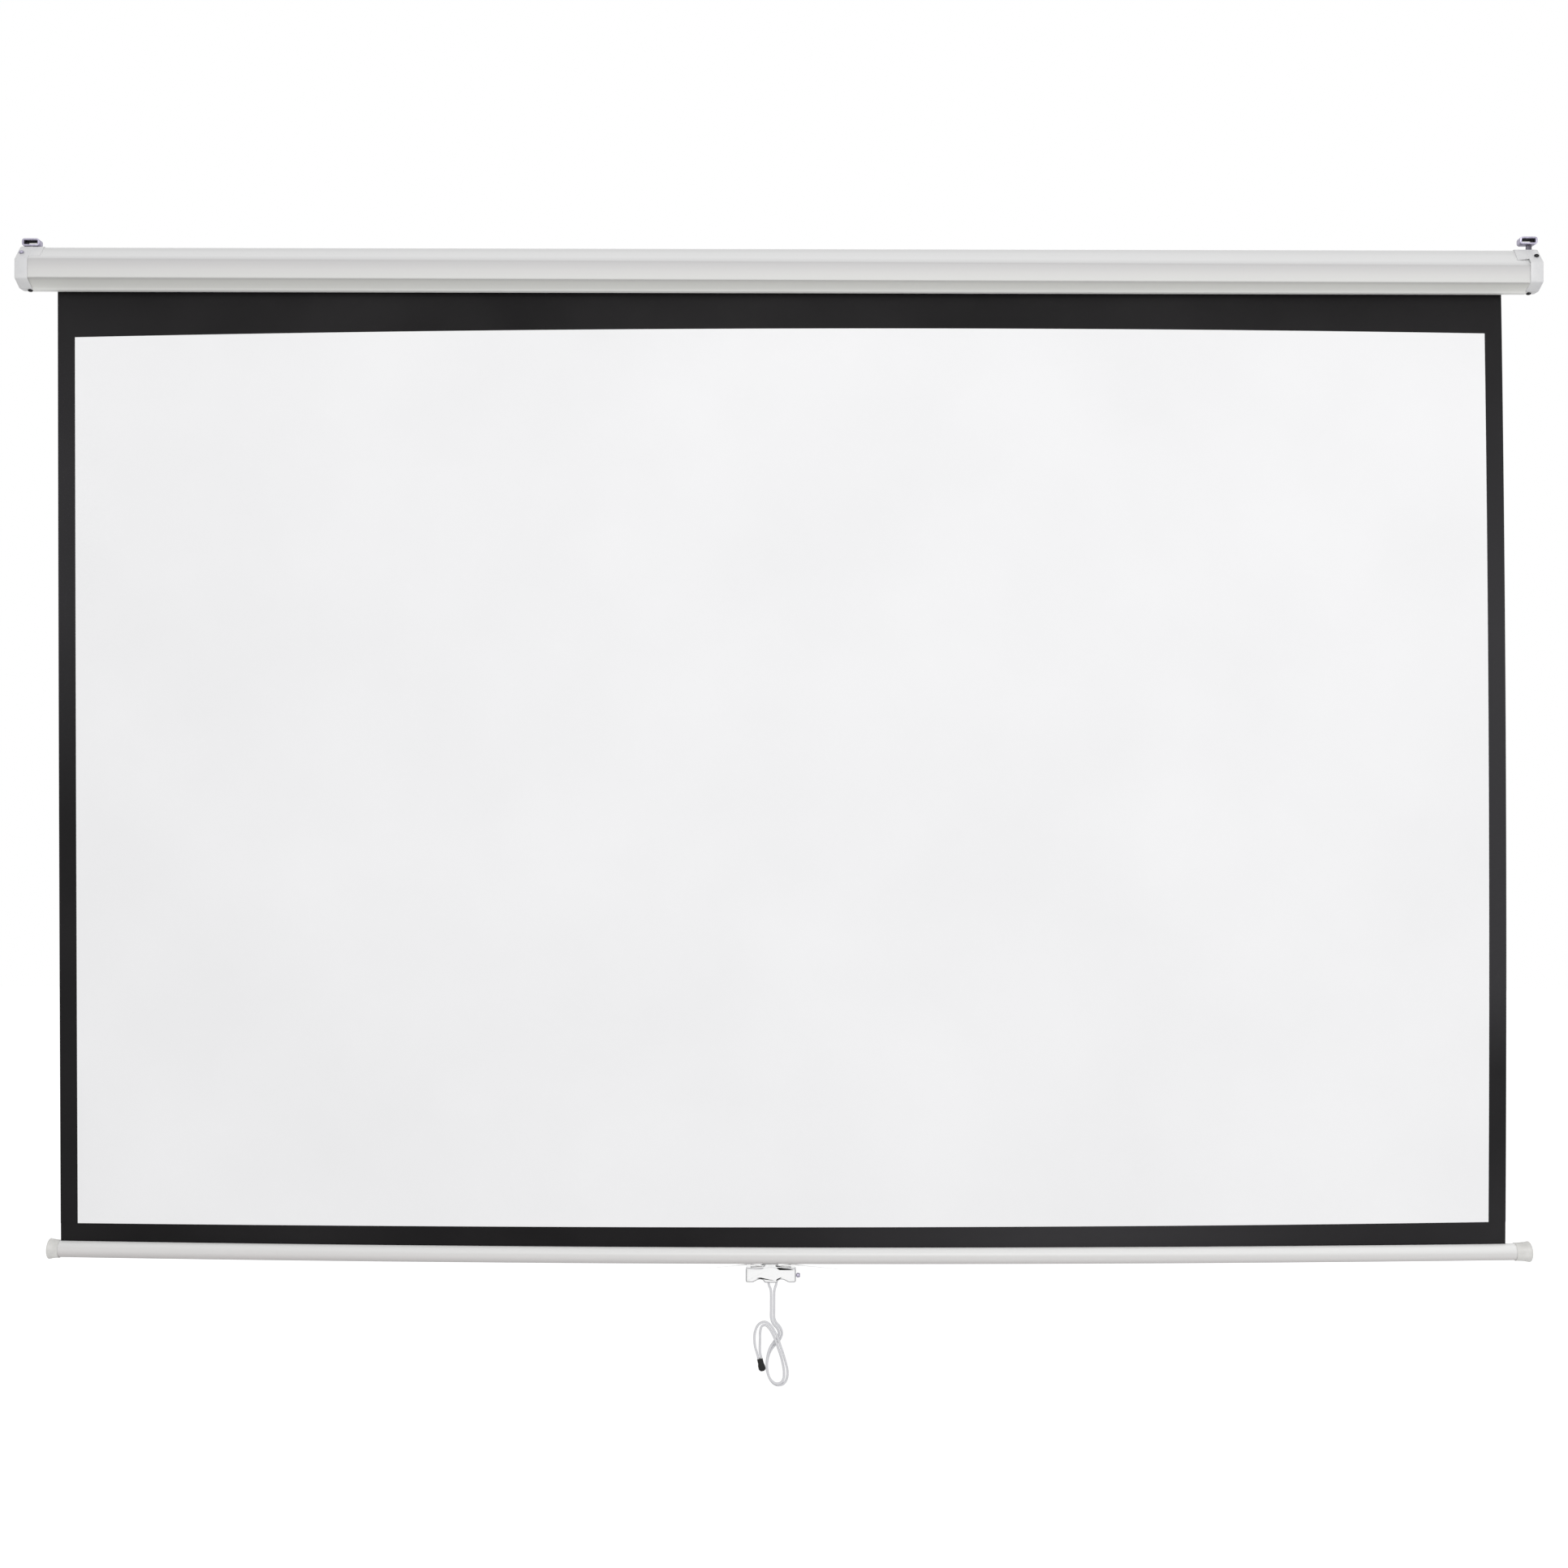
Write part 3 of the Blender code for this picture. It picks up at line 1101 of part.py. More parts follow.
def smooth_between(values, at):
    """A value on a smooth line through a list of values, at being 0 to its last index."""
    i = min(int(at), len(values) - 2)
    t = at - i
    before = values[max(i - 1, 0)]
    after = values[min(i + 2, len(values) - 1)]
    here, there = values[i], values[i + 1]
    rise = (there - before) * 0.5
    fall = (after - here) * 0.5
    return (
        here * (2 * t**3 - 3 * t**2 + 1)
        + rise * (t**3 - 2 * t**2 + t)
        + there * (3 * t**2 - 2 * t**3)
        + fall * (t**3 - t**2)
    )


def cord_strands():
    """Both strands' points, evenly spaced along the pair's middle line, and its end and way."""
    origin = Vector((GRIP_X, SHEET_Y, CORD_TOP))
    middles = [origin + Vector(row[:3]) / 1000 for row in CORD_ROUTE]
    spacings = [row[3] / 1000 for row in CORD_ROUTE]
    turns = [math.radians(row[4]) for row in CORD_ROUTE]
    fine = [k / 20 for k in range(20 * (len(middles) - 1) + 1)]
    places = [smooth_between(middles, at) for at in fine]
    lengths = [0.0]
    for low, high in zip(places, places[1:]):
        lengths.append(lengths[-1] + (high - low).length)
    goals = [0.0]
    inner = lengths[-1] - 2 * CORD_DIAMETER
    for k in range(CORD_POINTS - 2):
        goals.append(CORD_DIAMETER + inner * k / (CORD_POINTS - 3))
    goals.append(lengths[-1])
    strands = ([], [])
    for goal in goals:
        at = fine[min(range(len(fine)), key=lambda i: abs(lengths[i] - goal))]
        ahead = smooth_between(middles, min(at + 0.05, fine[-1]))
        behind = smooth_between(middles, max(at - 0.05, 0.0))
        along = (ahead - behind).normalized()
        across = along.cross(Vector((0, 1, 0))).normalized()
        deep = across.cross(along).normalized()
        turn = smooth_between(turns, at)
        offset = (across * math.cos(turn) + deep * math.sin(turn)) * smooth_between(spacings, at)
        middle = smooth_between(middles, at)
        strands[0].append(middle + offset)
        strands[1].append(middle - offset)
    along = (middles[-1] - middles[-2]).normalized()
    for strand in strands:
        strand[-1] -= along * GAP
    return strands, middles[-1], along


def make_cord(axis, cord, rubber):
    """Two strands that leave the grip apart, run as a pair and end in one end piece."""
    (first, second), end, along = cord_strands()
    gaps = [
        least_gap(first, first, CORD_DIAMETER, 3),
        least_gap(second, second, CORD_DIAMETER, 3),
        least_gap(first, second, CORD_DIAMETER, 0),
    ]
    print("cord least gaps, mm:", [round(1000 * gap, 2) for gap in gaps])
    for name, strand in (("a", first), ("b", second)):
        length = sum((high - low).length for low, high in zip(strand, strand[1:]))
        print("cord_strand_" + name, "length, m:", round(length, 4))
        wire(f"cord_strand_{name}", strand, CORD_DIAMETER, 2, cord, axis)
    profile = [
        (0, 0),
        (0, TIP_RADIUS * 0.82),
        (TIP_LENGTH * 0.42, TIP_RADIUS * 0.84),
        (TIP_LENGTH * 0.58, TIP_RADIUS),
        (TIP_LENGTH * 0.84, TIP_RADIUS),
        (TIP_LENGTH * 0.95, TIP_RADIUS * 0.84),
        (TIP_LENGTH, TIP_RADIUS * 0.5),
        (TIP_LENGTH, 0),
    ]
    add("cord_tip", lathe(profile, end, along, 20), rubber, axis, smooth=True)


def build():
    clear_scene()
    white_steel = material("white_coated_steel", (0.78, 0.78, 0.77), 0.45)
    white_plastic = material("white_moulded_plastic", (0.80, 0.80, 0.80), 0.42)
    dark_screw = material("blackened_screw", (0.03, 0.03, 0.03), 0.45, 0.8)
    zinc = material("zinc_plate", (0.62, 0.60, 0.66), 0.32, 1.0)
    bright_steel = material("drawn_steel", (0.50, 0.50, 0.50), 0.35, 1.0)
    black_nylon = material("black_nylon", (0.02, 0.02, 0.02), 0.5)
    white_cloth = material("matt_white_cloth", (0.86, 0.86, 0.87), 0.95)
    black_cloth = material("black_cloth", (0.02, 0.02, 0.02), 0.85)
    white_cord = material("white_braided_cord", (0.80, 0.80, 0.79), 0.85)
    black_rubber = material("black_rubber", (0.02, 0.02, 0.02), 0.6)

    make_case_shell(white_steel)
    for side, name in ((-1, "left"), (1, "right")):
        make_end_cap(side, white_plastic)
        for place, line in (("top", top_screw_line(side)), ("bottom", bottom_screw_line(side))):
            make_screw(
                f"cap_screw_{place}_{name}",
                line,
                dark_screw,
                SCREW_HEAD_RADIUS,
                SCREW_SHANK_RADIUS,
                SCREW_HEAD_HEIGHT,
                SCREW_LENGTH,
            )
        make_hanger(side, zinc, black_nylon)

    roller_axis = axis_empty("roller_axis", (0.0, ROLLER_Y, ROLLER_Z))
    make_roller(roller_axis, bright_steel, white_cloth)
    make_idler(roller_axis, black_nylon, bright_steel)
    make_lock(roller_axis, bright_steel, black_nylon)
    make_spring_drive(bright_steel, black_nylon)

    make_sheet(white_cloth, black_cloth)
    bar_axis = axis_empty("bar_travel", (0.0, SHEET_Y, BAR_Z))
    make_bar(bar_axis, white_steel, white_plastic, bright_steel)
    make_grip(bar_axis, white_plastic, dark_screw, zinc)
    make_cord(bar_axis, white_cord, black_rubber)


build()
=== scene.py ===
# A pull-down projector screen, drawn fully down and seen from the front
import math

import bmesh
import bpy
from mathutils import Matrix, Vector


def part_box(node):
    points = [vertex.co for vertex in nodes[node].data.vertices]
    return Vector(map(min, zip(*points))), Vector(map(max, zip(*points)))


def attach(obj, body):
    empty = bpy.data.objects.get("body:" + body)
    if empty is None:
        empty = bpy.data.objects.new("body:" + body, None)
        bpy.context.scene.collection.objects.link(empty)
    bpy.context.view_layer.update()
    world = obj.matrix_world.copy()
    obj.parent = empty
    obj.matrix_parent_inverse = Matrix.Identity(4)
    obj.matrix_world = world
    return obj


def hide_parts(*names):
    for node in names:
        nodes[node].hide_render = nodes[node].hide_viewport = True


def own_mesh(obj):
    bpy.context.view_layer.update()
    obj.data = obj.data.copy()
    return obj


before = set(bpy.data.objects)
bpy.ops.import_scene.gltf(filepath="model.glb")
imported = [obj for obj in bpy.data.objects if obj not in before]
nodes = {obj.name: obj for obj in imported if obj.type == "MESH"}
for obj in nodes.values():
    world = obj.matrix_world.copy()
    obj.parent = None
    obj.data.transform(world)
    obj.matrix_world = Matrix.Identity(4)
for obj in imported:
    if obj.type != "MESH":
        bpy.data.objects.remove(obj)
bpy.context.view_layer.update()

# The camera of the photograph stood square to the screen, level with the middle of its white area
# and 2.7 m away, and was turned a tenth of a degree about its own line of sight.
CAMERA_PLACE = (0.0092, -2.730, -0.77965)
CAMERA_LENS = 40.68  # mm
CAMERA_SENSOR = 36.0  # mm
CAMERA_ROLL = 0.12  # degrees

camera_data = bpy.data.cameras.new("studio_camera")
camera_data.lens = CAMERA_LENS
camera_data.sensor_width = CAMERA_SENSOR
camera = bpy.data.objects.new("studio_camera", camera_data)
camera.location = CAMERA_PLACE
camera.rotation_euler = (math.radians(90), math.radians(-CAMERA_ROLL), 0)
bpy.context.collection.objects.link(camera)
bpy.context.scene.camera = camera
bpy.context.scene.view_settings.view_transform = "Standard"


# The studio is a plain white sweep: its paper floor keeps the screen's shadow. A large lamp hangs
# high in front, a smaller one stands to the right, and white walls return the rest of the light.
PAPER = "#F4F4F4"
FLOOR_HEIGHT = -2.02
FLOOR_SIZE = 16.0
FLOOR_LIFT = 0.56  # how much brighter the camera sees the paper, so that it fades into the room
ROOM_LIGHT = 0.63  # of the walls, where 1 is white
KEY_PLACE = (0.5, -5.0, 1.6)
KEY_SIZE = 2.6
KEY_POWER = 97.0
SIDE_PLACE = (4.2, -3.6, -0.6)
SIDE_SIZE = 1.6
SIDE_POWER = 15.0
MIDDLE = (0.0, 0.0, -0.78)  # of the screen


def colour(code):
    """An sRGB code such as #808080 as linear red, green, blue and alpha."""
    parts = [int(code[i : i + 2], 16) / 255 for i in (1, 3, 5)]
    linear = [c / 12.92 if c <= 0.04045 else ((c + 0.055) / 1.055) ** 2.4 for c in parts]
    return (*linear, 1.0)


def add_node(tree, kind, values=None, **settings):
    """A node with its settings; values gives each input a number, a colour or another's output."""
    made = tree.nodes.new(kind)
    for name, value in settings.items():
        setattr(made, name, value)
    for name, value in (values or {}).items():
        if isinstance(value, bpy.types.NodeSocket):
            tree.links.new(value, made.inputs[name])
        else:
            made.inputs[name].default_value = value
    return made


def lamp(name, place, size, power):
    """A square soft box that faces the middle of the screen."""
    data = bpy.data.lights.new(name, "AREA")
    data.shape = "SQUARE"
    data.size = size
    data.energy = power
    made = bpy.data.objects.new(name, data)
    made.location = place
    made.rotation_euler = (Vector(MIDDLE) - Vector(place)).to_track_quat("-Z", "Y").to_euler()
    bpy.context.collection.objects.link(made)


lamp("key_soft_box", KEY_PLACE, KEY_SIZE, KEY_POWER)
lamp("side_soft_box", SIDE_PLACE, SIDE_SIZE, SIDE_POWER)

room = bpy.data.worlds.new("white_room")
room.use_nodes = True
tree = room.node_tree
path = add_node(tree, "ShaderNodeLightPath")
seen_or_mirrored = add_node(
    tree,
    "ShaderNodeMath",
    {0: path.outputs["Is Camera Ray"], 1: path.outputs["Is Glossy Ray"]},
    operation="MAXIMUM",
)
seen = add_node(
    tree,
    "ShaderNodeMath",
    {0: seen_or_mirrored.outputs[0], 1: path.outputs["Is Transmission Ray"]},
    operation="MAXIMUM",
)
strength = add_node(
    tree, "ShaderNodeMapRange", {"Value": seen.outputs[0], "To Min": ROOM_LIGHT, "To Max": 1.0}
)
background = tree.nodes["Background"]
background.inputs["Color"].default_value = (1, 1, 1, 1)
tree.links.new(strength.outputs[0], background.inputs["Strength"])
bpy.context.scene.world = room

paper = bpy.data.materials.new("white_paper")
paper.use_nodes = True
tree = paper.node_tree
path = add_node(tree, "ShaderNodeLightPath")
lift = add_node(
    tree, "ShaderNodeMath", {0: path.outputs["Is Camera Ray"], 1: FLOOR_LIFT}, operation="MULTIPLY"
)
shader = tree.nodes["Principled BSDF"]
shader.inputs["Base Color"].default_value = colour(PAPER)
shader.inputs["Roughness"].default_value = 1.0
shader.inputs["Specular IOR Level"].default_value = 0.0
shader.inputs["Emission Color"].default_value = (1, 1, 1, 1)
tree.links.new(lift.outputs[0], shader.inputs["Emission Strength"])

bm = bmesh.new()
bmesh.ops.create_grid(bm, x_segments=1, y_segments=1, size=FLOOR_SIZE / 2)
bmesh.ops.translate(bm, vec=(0, 0, FLOOR_HEIGHT), verts=bm.verts)
floor_mesh = bpy.data.meshes.new("paper_floor")
bm.to_mesh(floor_mesh)
bm.free()
floor_mesh.materials.append(paper)
floor = bpy.data.objects.new("paper_floor", floor_mesh)
bpy.context.collection.objects.link(floor)


# The case is one strip of steel, coated white at the mill and roll-formed into an eight-sided
# tunnel. Both edges of the slot under it are folded up, and its ends sit in the moulded caps.
SHEET_PLANE = -0.030  # where the cloth hangs, in front of the wall
STEEL = 0.001
UPPER_RISE = 0.0244  # the upper slopes' height and depth
UPPER_DEPTH = 0.021
LOWER_DROP = 0.0105  # the lower slopes' height and depth
LOWER_DEPTH = 0.017
REAR_RISE = 0.0065  # the underside climbs this much from its slot to the rear bend
REAR_DROP = 0.006  # and this much more to the back
SLOT_WIDTH = 0.011
SLOT_HEM = 0.004  # height of the slot's folded edges
SHELL_IN_CAP = 0.003  # how far the strip reaches into each cap
CAP_REACH = 0.020  # from a cap's outer face to its mouth
BEND_RADIUS = 0.0022
BEND_TURN = 45.0  # degrees
BEND_STEPS = 6
NEAR = 0.0001  # points closer than this lie on one plane
MM = 1000.0  # millimetres in a metre
LIP_DROP = 0.0026  # the front edge of the slot rolls on this much below the underside
# The strip is rolled with a slight twist: its front bends climb this much at its left and right.
UPPER_BEND_CLIMB = (0.0010, -0.0052)
LOWER_BEND_CLIMB = (0.0005, -0.0031)
# Painted shade and highlight down the case's front: a soft shade is painted below each bend and a
# highlight on the slot's front lip. Heights are in mm, before the twist.
PAINTED_CASE_SHADING = (
    (-33.6, "#F4F4F1"),
    (-31.6, "#EEEEEA"),
    (-30.2, "#E2E2DE"),
    (-27.0, "#D8D8D4"),
    (-23.5, "#CDCDC9"),
    (-21.0, "#B9B8B6"),
    (-19.6, "#D2D2D0"),
    (-18.0, "#D9D9D7"),
    (-8.0, "#D5D4D3"),
    (3.0, "#C9C8C8"),
    (6.6, "#C4C3C3"),
    (9.5, "#D8D8D8"),
    (14.0, "#E2E2E2"),
    (22.0, "#DFDFDF"),
    (27.5, "#D7D7D7"),
    (31.0, "#DBDBDB"),
)


def finish_of(name, code, roughness, metallic=0.0, specular=0.5):
    """A material, its node tree and its shader, with the constants on the shader's own sockets."""
    made = bpy.data.materials.new(name)
    made.use_nodes = True
    made.diffuse_color = colour(code)
    shader = made.node_tree.nodes["Principled BSDF"]
    shader.inputs["Base Color"].default_value = colour(code)
    shader.inputs["Roughness"].default_value = roughness
    shader.inputs["Metallic"].default_value = metallic
    shader.inputs["Specular IOR Level"].default_value = specular
    return made, made.node_tree, shader


def grain(tree, shader, size, depth, stretch=(1, 1, 1), source="Object"):
    """A fine relief of the surface: its spacing and its depth are in metres."""
    place = add_node(tree, "ShaderNodeTexCoord")
    stretched = add_node(
        tree, "ShaderNodeMapping", {"Vector": place.outputs[source], "Scale": stretch}
    )
    noise = add_node(
        tree,
        "ShaderNodeTexNoise",
        {"Vector": stretched.outputs[0], "Scale": 1 / size, "Detail": 2.0, "Roughness": 0.5},
    )
    relief = add_node(
        tree, "ShaderNodeBump", {"Height": noise.outputs[0], "Strength": 1.0, "Distance": depth}
    )
    tree.links.new(relief.outputs[0], shader.inputs["Normal"])


def tone_ramp(tree, shader, value, tones):
    """Colours the surface by a value, through a list of values and their tones."""
    low, high = tones[0][0], tones[-1][0]
    share = add_node(tree, "ShaderNodeMapRange", {"Value": value, "From Min": low, "From Max": high})
    ramp = add_node(tree, "ShaderNodeValToRGB", {"Fac": share.outputs[0]})
    stops = ramp.color_ramp.elements
    while len(stops) < len(tones):
        stops.new(0.5)
    for stop, (at, code) in zip(stops, tones):
        stop.position = (at - low) / (high - low)
        stop.color = colour(code)
    tree.links.new(ramp.outputs[0], shader.inputs["Base Color"])


def finished(name, bm, materials, body, stands_for=(), sharp=35.0):
    """The piece as an object at the origin that rides on a body; edges past sharp stay crisp."""
    mesh = bpy.data.meshes.new(name)
    bm.to_mesh(mesh)
    bm.free()
    for each in materials:
        mesh.materials.append(each)
    mesh.shade_smooth()
    mesh.set_sharp_from_angle(angle=math.radians(sharp))
    piece = bpy.data.objects.new(name, mesh)
    bpy.context.collection.objects.link(piece)
    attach(piece, body)
    if stands_for:
        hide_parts(*stands_for)
    return piece


# Pre-coated steel: a satin polyester coat, smooth but for a faint orange peel, so the facets
# read as broad soft tones with a gentle sheen.
coated_steel, tree, shader = finish_of("white_coated_steel", "#D6D6D5", 0.5, specular=0.3)
grain(tree, shader, 0.0022, 0.00001)
# The case's tone by height, from the ramp below, is painted shade and highlight.
place = add_node(tree, "ShaderNodeTexCoord")
parts = add_node(tree, "ShaderNodeSeparateXYZ", {"Vector": place.outputs["UV"]})
tone_ramp(tree, shader, parts.outputs["Y"], PAINTED_CASE_SHADING)

case_low, case_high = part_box("case_shell")
front, top, bottom = case_low.y, case_high.z, case_low.z
crease = top - UPPER_RISE
slot_front, slot_rear = SHEET_PLANE - SLOT_WIDTH / 2, SHEET_PLANE + SLOT_WIDTH / 2
rear_edge = bottom + REAR_RISE * SLOT_WIDTH / (-LOWER_DEPTH - slot_front)
section = [
    (slot_rear, rear_edge + SLOT_HEM),
    (slot_rear, rear_edge),
    (-LOWER_DEPTH, bottom + REAR_RISE),
    (0.0, bottom + REAR_RISE + REAR_DROP),
    (0.0, crease),
    (-UPPER_DEPTH, top),
    (front + UPPER_DEPTH, top),
    (front, crease),
    (front, bottom + LOWER_DROP),
    (front + LOWER_DEPTH * (1 + LIP_DROP / LOWER_DROP), bottom - LIP_DROP),
    (slot_front, bottom - LIP_DROP),
    (slot_front, bottom + SLOT_HEM),
]
cap_low, cap_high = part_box("end_cap_left"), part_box("end_cap_right")
strip_low = cap_low[0].x + CAP_REACH - SHELL_IN_CAP
strip_high = cap_high[1].x - CAP_REACH + SHELL_IN_CAP
bm = bmesh.new()
corners = [bm.verts.new((strip_low, y, z)) for y, z in section]
strip = [bm.edges.new(pair) for pair in zip(corners, corners[1:])]
made = bmesh.ops.extrude_edge_only(bm, edges=strip)["geom"]
far = [v for v in made if isinstance(v, bmesh.types.BMVert)]
bmesh.ops.translate(bm, vec=(strip_high - strip_low, 0, 0), verts=far)
uv = bm.loops.layers.uv.new("coat")
for face in bm.faces:
    for loop in face.loops:
        loop[uv].uv = (loop.vert.co.x, loop.vert.co.z * MM)
for v in bm.verts:
    if abs(v.co.y - front) < NEAR:
        climb = UPPER_BEND_CLIMB if abs(v.co.z - crease) < NEAR else LOWER_BEND_CLIMB
        v.co.z += climb[0 if v.co.x < 0 else 1]
bends = [e for e in bm.edges if len(e.link_faces) == 2]
bmesh.ops.bevel(
    bm,
    geom=bends,
    offset=BEND_RADIUS * math.tan(math.radians(BEND_TURN / 2)),
    affect="EDGES",
    segments=BEND_STEPS,
    profile=0.5,
    material=-1,
    clamp_overlap=True,
)
# The strip's outer side has to face outwards before it gets its thickness.
bm.normal_update()
if sum(f.normal.y * f.calc_area() * (f.calc_center_median().y - front / 2) for f in bm.faces) < 0:
    bmesh.ops.reverse_faces(bm, faces=bm.faces)
bmesh.ops.solidify(bm, geom=bm.faces[:], thickness=STEEL)
finished("case_skin", bm, [coated_steel], "housing", ["case_shell"])


# Each end is closed by a cap moulded in white ABS. It slips over the case, and a short tongue of
# it lies on the upper slope.
CAP_SINK = 0.5  # the share of the lower bend's climb that the right cap follows
TONGUE_START = 0.0005  # the tongue's points are at least this far out of the cap's mouth
TONGUE_FOOT = 0.003  # and at most this far below the crease
MERGE_REACH = 0.000002  # points this close are one
FLAT_ANGLE = 0.6  # degrees, below which two faces are one


def patches(tree, shader, code_a, code_b, size, source="Object"):
    """Soft patches between two tones of one colour, as wide as size, in metres."""
    place = add_node(tree, "ShaderNodeTexCoord")
    noise = add_node(
        tree,
        "ShaderNodeTexNoise",
        {"Vector": place.outputs[source], "Scale": 1 / size, "Detail": 3.0, "Roughness": 0.55},
    )
    spread = add_node(
        tree, "ShaderNodeMapRange", {"Value": noise.outputs[0], "From Min": 0.3, "From Max": 0.7}
    )
    tones = add_node(
        tree,
        "ShaderNodeMix",
        {"Factor": spread.outputs[0], "A": colour(code_a), "B": colour(code_b)},
        data_type="RGBA",
    )
    tree.links.new(tones.outputs["Result"], shader.inputs["Base Color"])
    return tones


def merged_copy(node):
    """A node's mesh with its doubled vertices merged and its flat faces joined."""
    bm = bmesh.new()
    bm.from_mesh(nodes[node].data)
    bmesh.ops.remove_doubles(bm, verts=bm.verts, dist=MERGE_REACH)
    bmesh.ops.dissolve_limit(
        bm, angle_limit=math.radians(FLAT_ANGLE), verts=bm.verts, edges=bm.edges, delimit=set()
    )
    for face in bm.faces:
        face.material_index = 0
    return bm


def softened(
    node, name, materials, body, edge, sharp=30.0, segments=2, move=None, parting=None
):
    """A merged copy of a node's mesh with its crisp edges rounded, which stands for the node.

    Its points go where move puts them. Faces below the height of parting take the second material.
    """
    bm = merged_copy(node)
    if move:
        for v in bm.verts:
            v.co = move(v.co)
    limit = math.radians(sharp)
    crisp = [e for e in bm.edges if len(e.link_faces) == 2 and e.calc_face_angle(0.0) > limit]
    if edge > 0:
        bmesh.ops.bevel(
            bm,
            geom=crisp,
            offset=edge,
            affect="EDGES",
            segments=segments,
            profile=0.5,
            material=-1,
            clamp_overlap=True,
        )
    if parting is not None:
        for face in bm.faces:
            face.material_index = 1 if face.calc_center_median().z < parting else 0
    return finished(name, bm, materials, body, [node], sharp)


def clamp(value):
    """The value, held between 0 and 1."""
    return min(max(value, 0.0), 1.0)


def follow_twist(at):
    """Lets the right cap sink with the twisted case: its tongue wholly, its lower bend in part."""
    mouth = strip_high - SHELL_IN_CAP
    if at.x < mouth - TONGUE_START and at.z > crease - TONGUE_FOOT:
        # The tongue only moves square to its slope, so that it stays on it.
        slope = Vector((0, UPPER_DEPTH, UPPER_RISE)).normalized()
        sunk = UPPER_BEND_CLIMB[1] * clamp((top - at.z) / UPPER_RISE)
        return at + sunk * slope.y * Vector((0, -slope.z, slope.y))
    rise = (crease - at.z) / (crease - bottom - LOWER_DROP)
    fall = (at.z - bottom) / LOWER_DROP
    return at + Vector((0, 0, CAP_SINK * LOWER_BEND_CLIMB[1] * clamp(min(rise, fall))))


# ABS: moulded against a finely etched tool, so it has a low even gloss and slightly soft edges.
moulded_abs, tree, shader = finish_of("white_moulded_abs", "#D9D9DA", 0.38)
grain(tree, shader, 0.0012, 0.000012)
patches(tree, shader, "#D4D4D6", "#DEDEDE", 0.03)

for side, move in (("left", None), ("right", follow_twist)):
    softened(
        f"end_cap_{side}",
        f"moulded_cap_{side}",
        [moulded_abs],
        "housing",
        edge=0.00045,
        move=move,
    )


# Two small screws hold each cap, one in the upper slope and one underneath. The upper left one is
# zinc-plated and the others are blackened.
SCREW_SHAPE = (1.2, 1.2, 1.0)  # the drawn heads' size, as shares of their solids'


def grown(point, factors, offset=(0, 0, 0)):
    """A move for softened: it grows a shape about a point and shifts it, in metres."""
    point, offset = Vector(point), Vector(offset)
    return lambda at: point + (at - point) * Vector(factors) + offset


# Blackened steel: heat-treated screws, nearly black with a dull metallic edge.
blackened_steel, tree, shader = finish_of("blackened_steel", "#2B2B2D", 0.42, 0.85)
grain(tree, shader, 0.0006, 0.00002)

# Zinc plate: thin electroplate over steel, bright and faintly lilac, clouded in soft patches.
zinc_plate, tree, shader = finish_of("zinc_plate", "#ACA8BA", 0.42, 1.0)
grain(tree, shader, 0.0009, 0.00002)
patches(tree, shader, "#A09CAE", "#BAB6C6", 0.004)

# Each screw with its metal, and how far its head is drawn from its solid.
for screw, metal, shift in (
    ("cap_screw_top_left", zinc_plate, (-0.0012, 0, 0)),
    ("cap_screw_top_right", blackened_steel, (0.0008, -0.0008, -0.0009)),
    ("cap_screw_bottom_left", blackened_steel, (0.0008, 0, -0.0006)),
    ("cap_screw_bottom_right", blackened_steel, (0.0008, 0, -0.0006)),
):
    low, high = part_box(screw)
    move = grown((low + high) / 2, SCREW_SHAPE, shift)
    softened(
        screw, f"{screw}_head", [metal], "housing", edge=0.0, sharp=50.0, move=move
    )


# A hanging loop stands on each cap: a strap of zinc-plated steel bent into a flat ring, with a
# black nylon insert pressed into it that takes the hook. The right one stands drawn up a little.
LOOP_HEIGHT = 0.0135  # of the strap, down from the loop's top
LOOP_SHAPE = Vector((0.88, 1, 0.85))  # the drawn strap's size, as shares of its solid's
LOOP_SHIFT = {"left": 0.0017, "right": 0.0003}  # how far right of its solid it is drawn
INSERT_DEPTH = 0.5  # the insert fills this share of its loop's depth, from the back


def strap_shape(foot, shift):
    """A move for softened: it resizes a strap about its foot and shifts it."""
    return lambda at: foot + (at - foot) * LOOP_SHAPE + shift if at.z > foot.z - NEAR else at


def insert_shape(strap, back):
    """A move for softened: an insert follows its strap and keeps to its rear."""

    def move(at):
        at = strap(at)
        return Vector((at.x, back + (at.y - back) * INSERT_DEPTH, at.z))

    return move


# Stem steel: below its strap the loop is drawn dark grey, a painted shade under the loop.
stem_shade_steel, tree, shader = finish_of("painted_shade_stem_steel", "#67646C", 0.55, 1.0)
grain(tree, shader, 0.0009, 0.00003)

# Nylon: black and slightly waxy, with the etched look of a small moulding.
black_nylon, tree, shader = finish_of("black_nylon", "#121213", 0.55, specular=0.35)
grain(tree, shader, 0.0006, 0.00002)

for side in ("left", "right"):
    body = f"hanger_{side}"
    low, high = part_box(f"hanger_loop_{side}")
    foot = Vector(((low.x + high.x) / 2, high.y, high.z - LOOP_HEIGHT))
    strap = strap_shape(foot, Vector((LOOP_SHIFT[side], 0, 0)))
    # Faces below the strap's foot take the dark stem steel: painted shade under the loop.
    softened(
        f"hanger_loop_{side}",
        f"zinc_loop_{side}",
        [zinc_plate, stem_shade_steel],
        body,
        edge=0.0003,
        move=strap,
        parting=foot.z - NEAR,
    )
    softened(
        f"hanger_bush_{side}",
        f"nylon_insert_{side}",
        [black_nylon],
        body,
        edge=0.0004,
        move=insert_shape(strap, high.y),
    )


# Inside the case turns a drawn-steel roller with the last turns of cloth on it. A coil spring on
# a fixed spindle winds it up, and two loose pawls lock it to a toothed wheel at any height.
DRAWN_LINES = (0.05, 1, 1)  # the lines of the drawn steel run along the roller


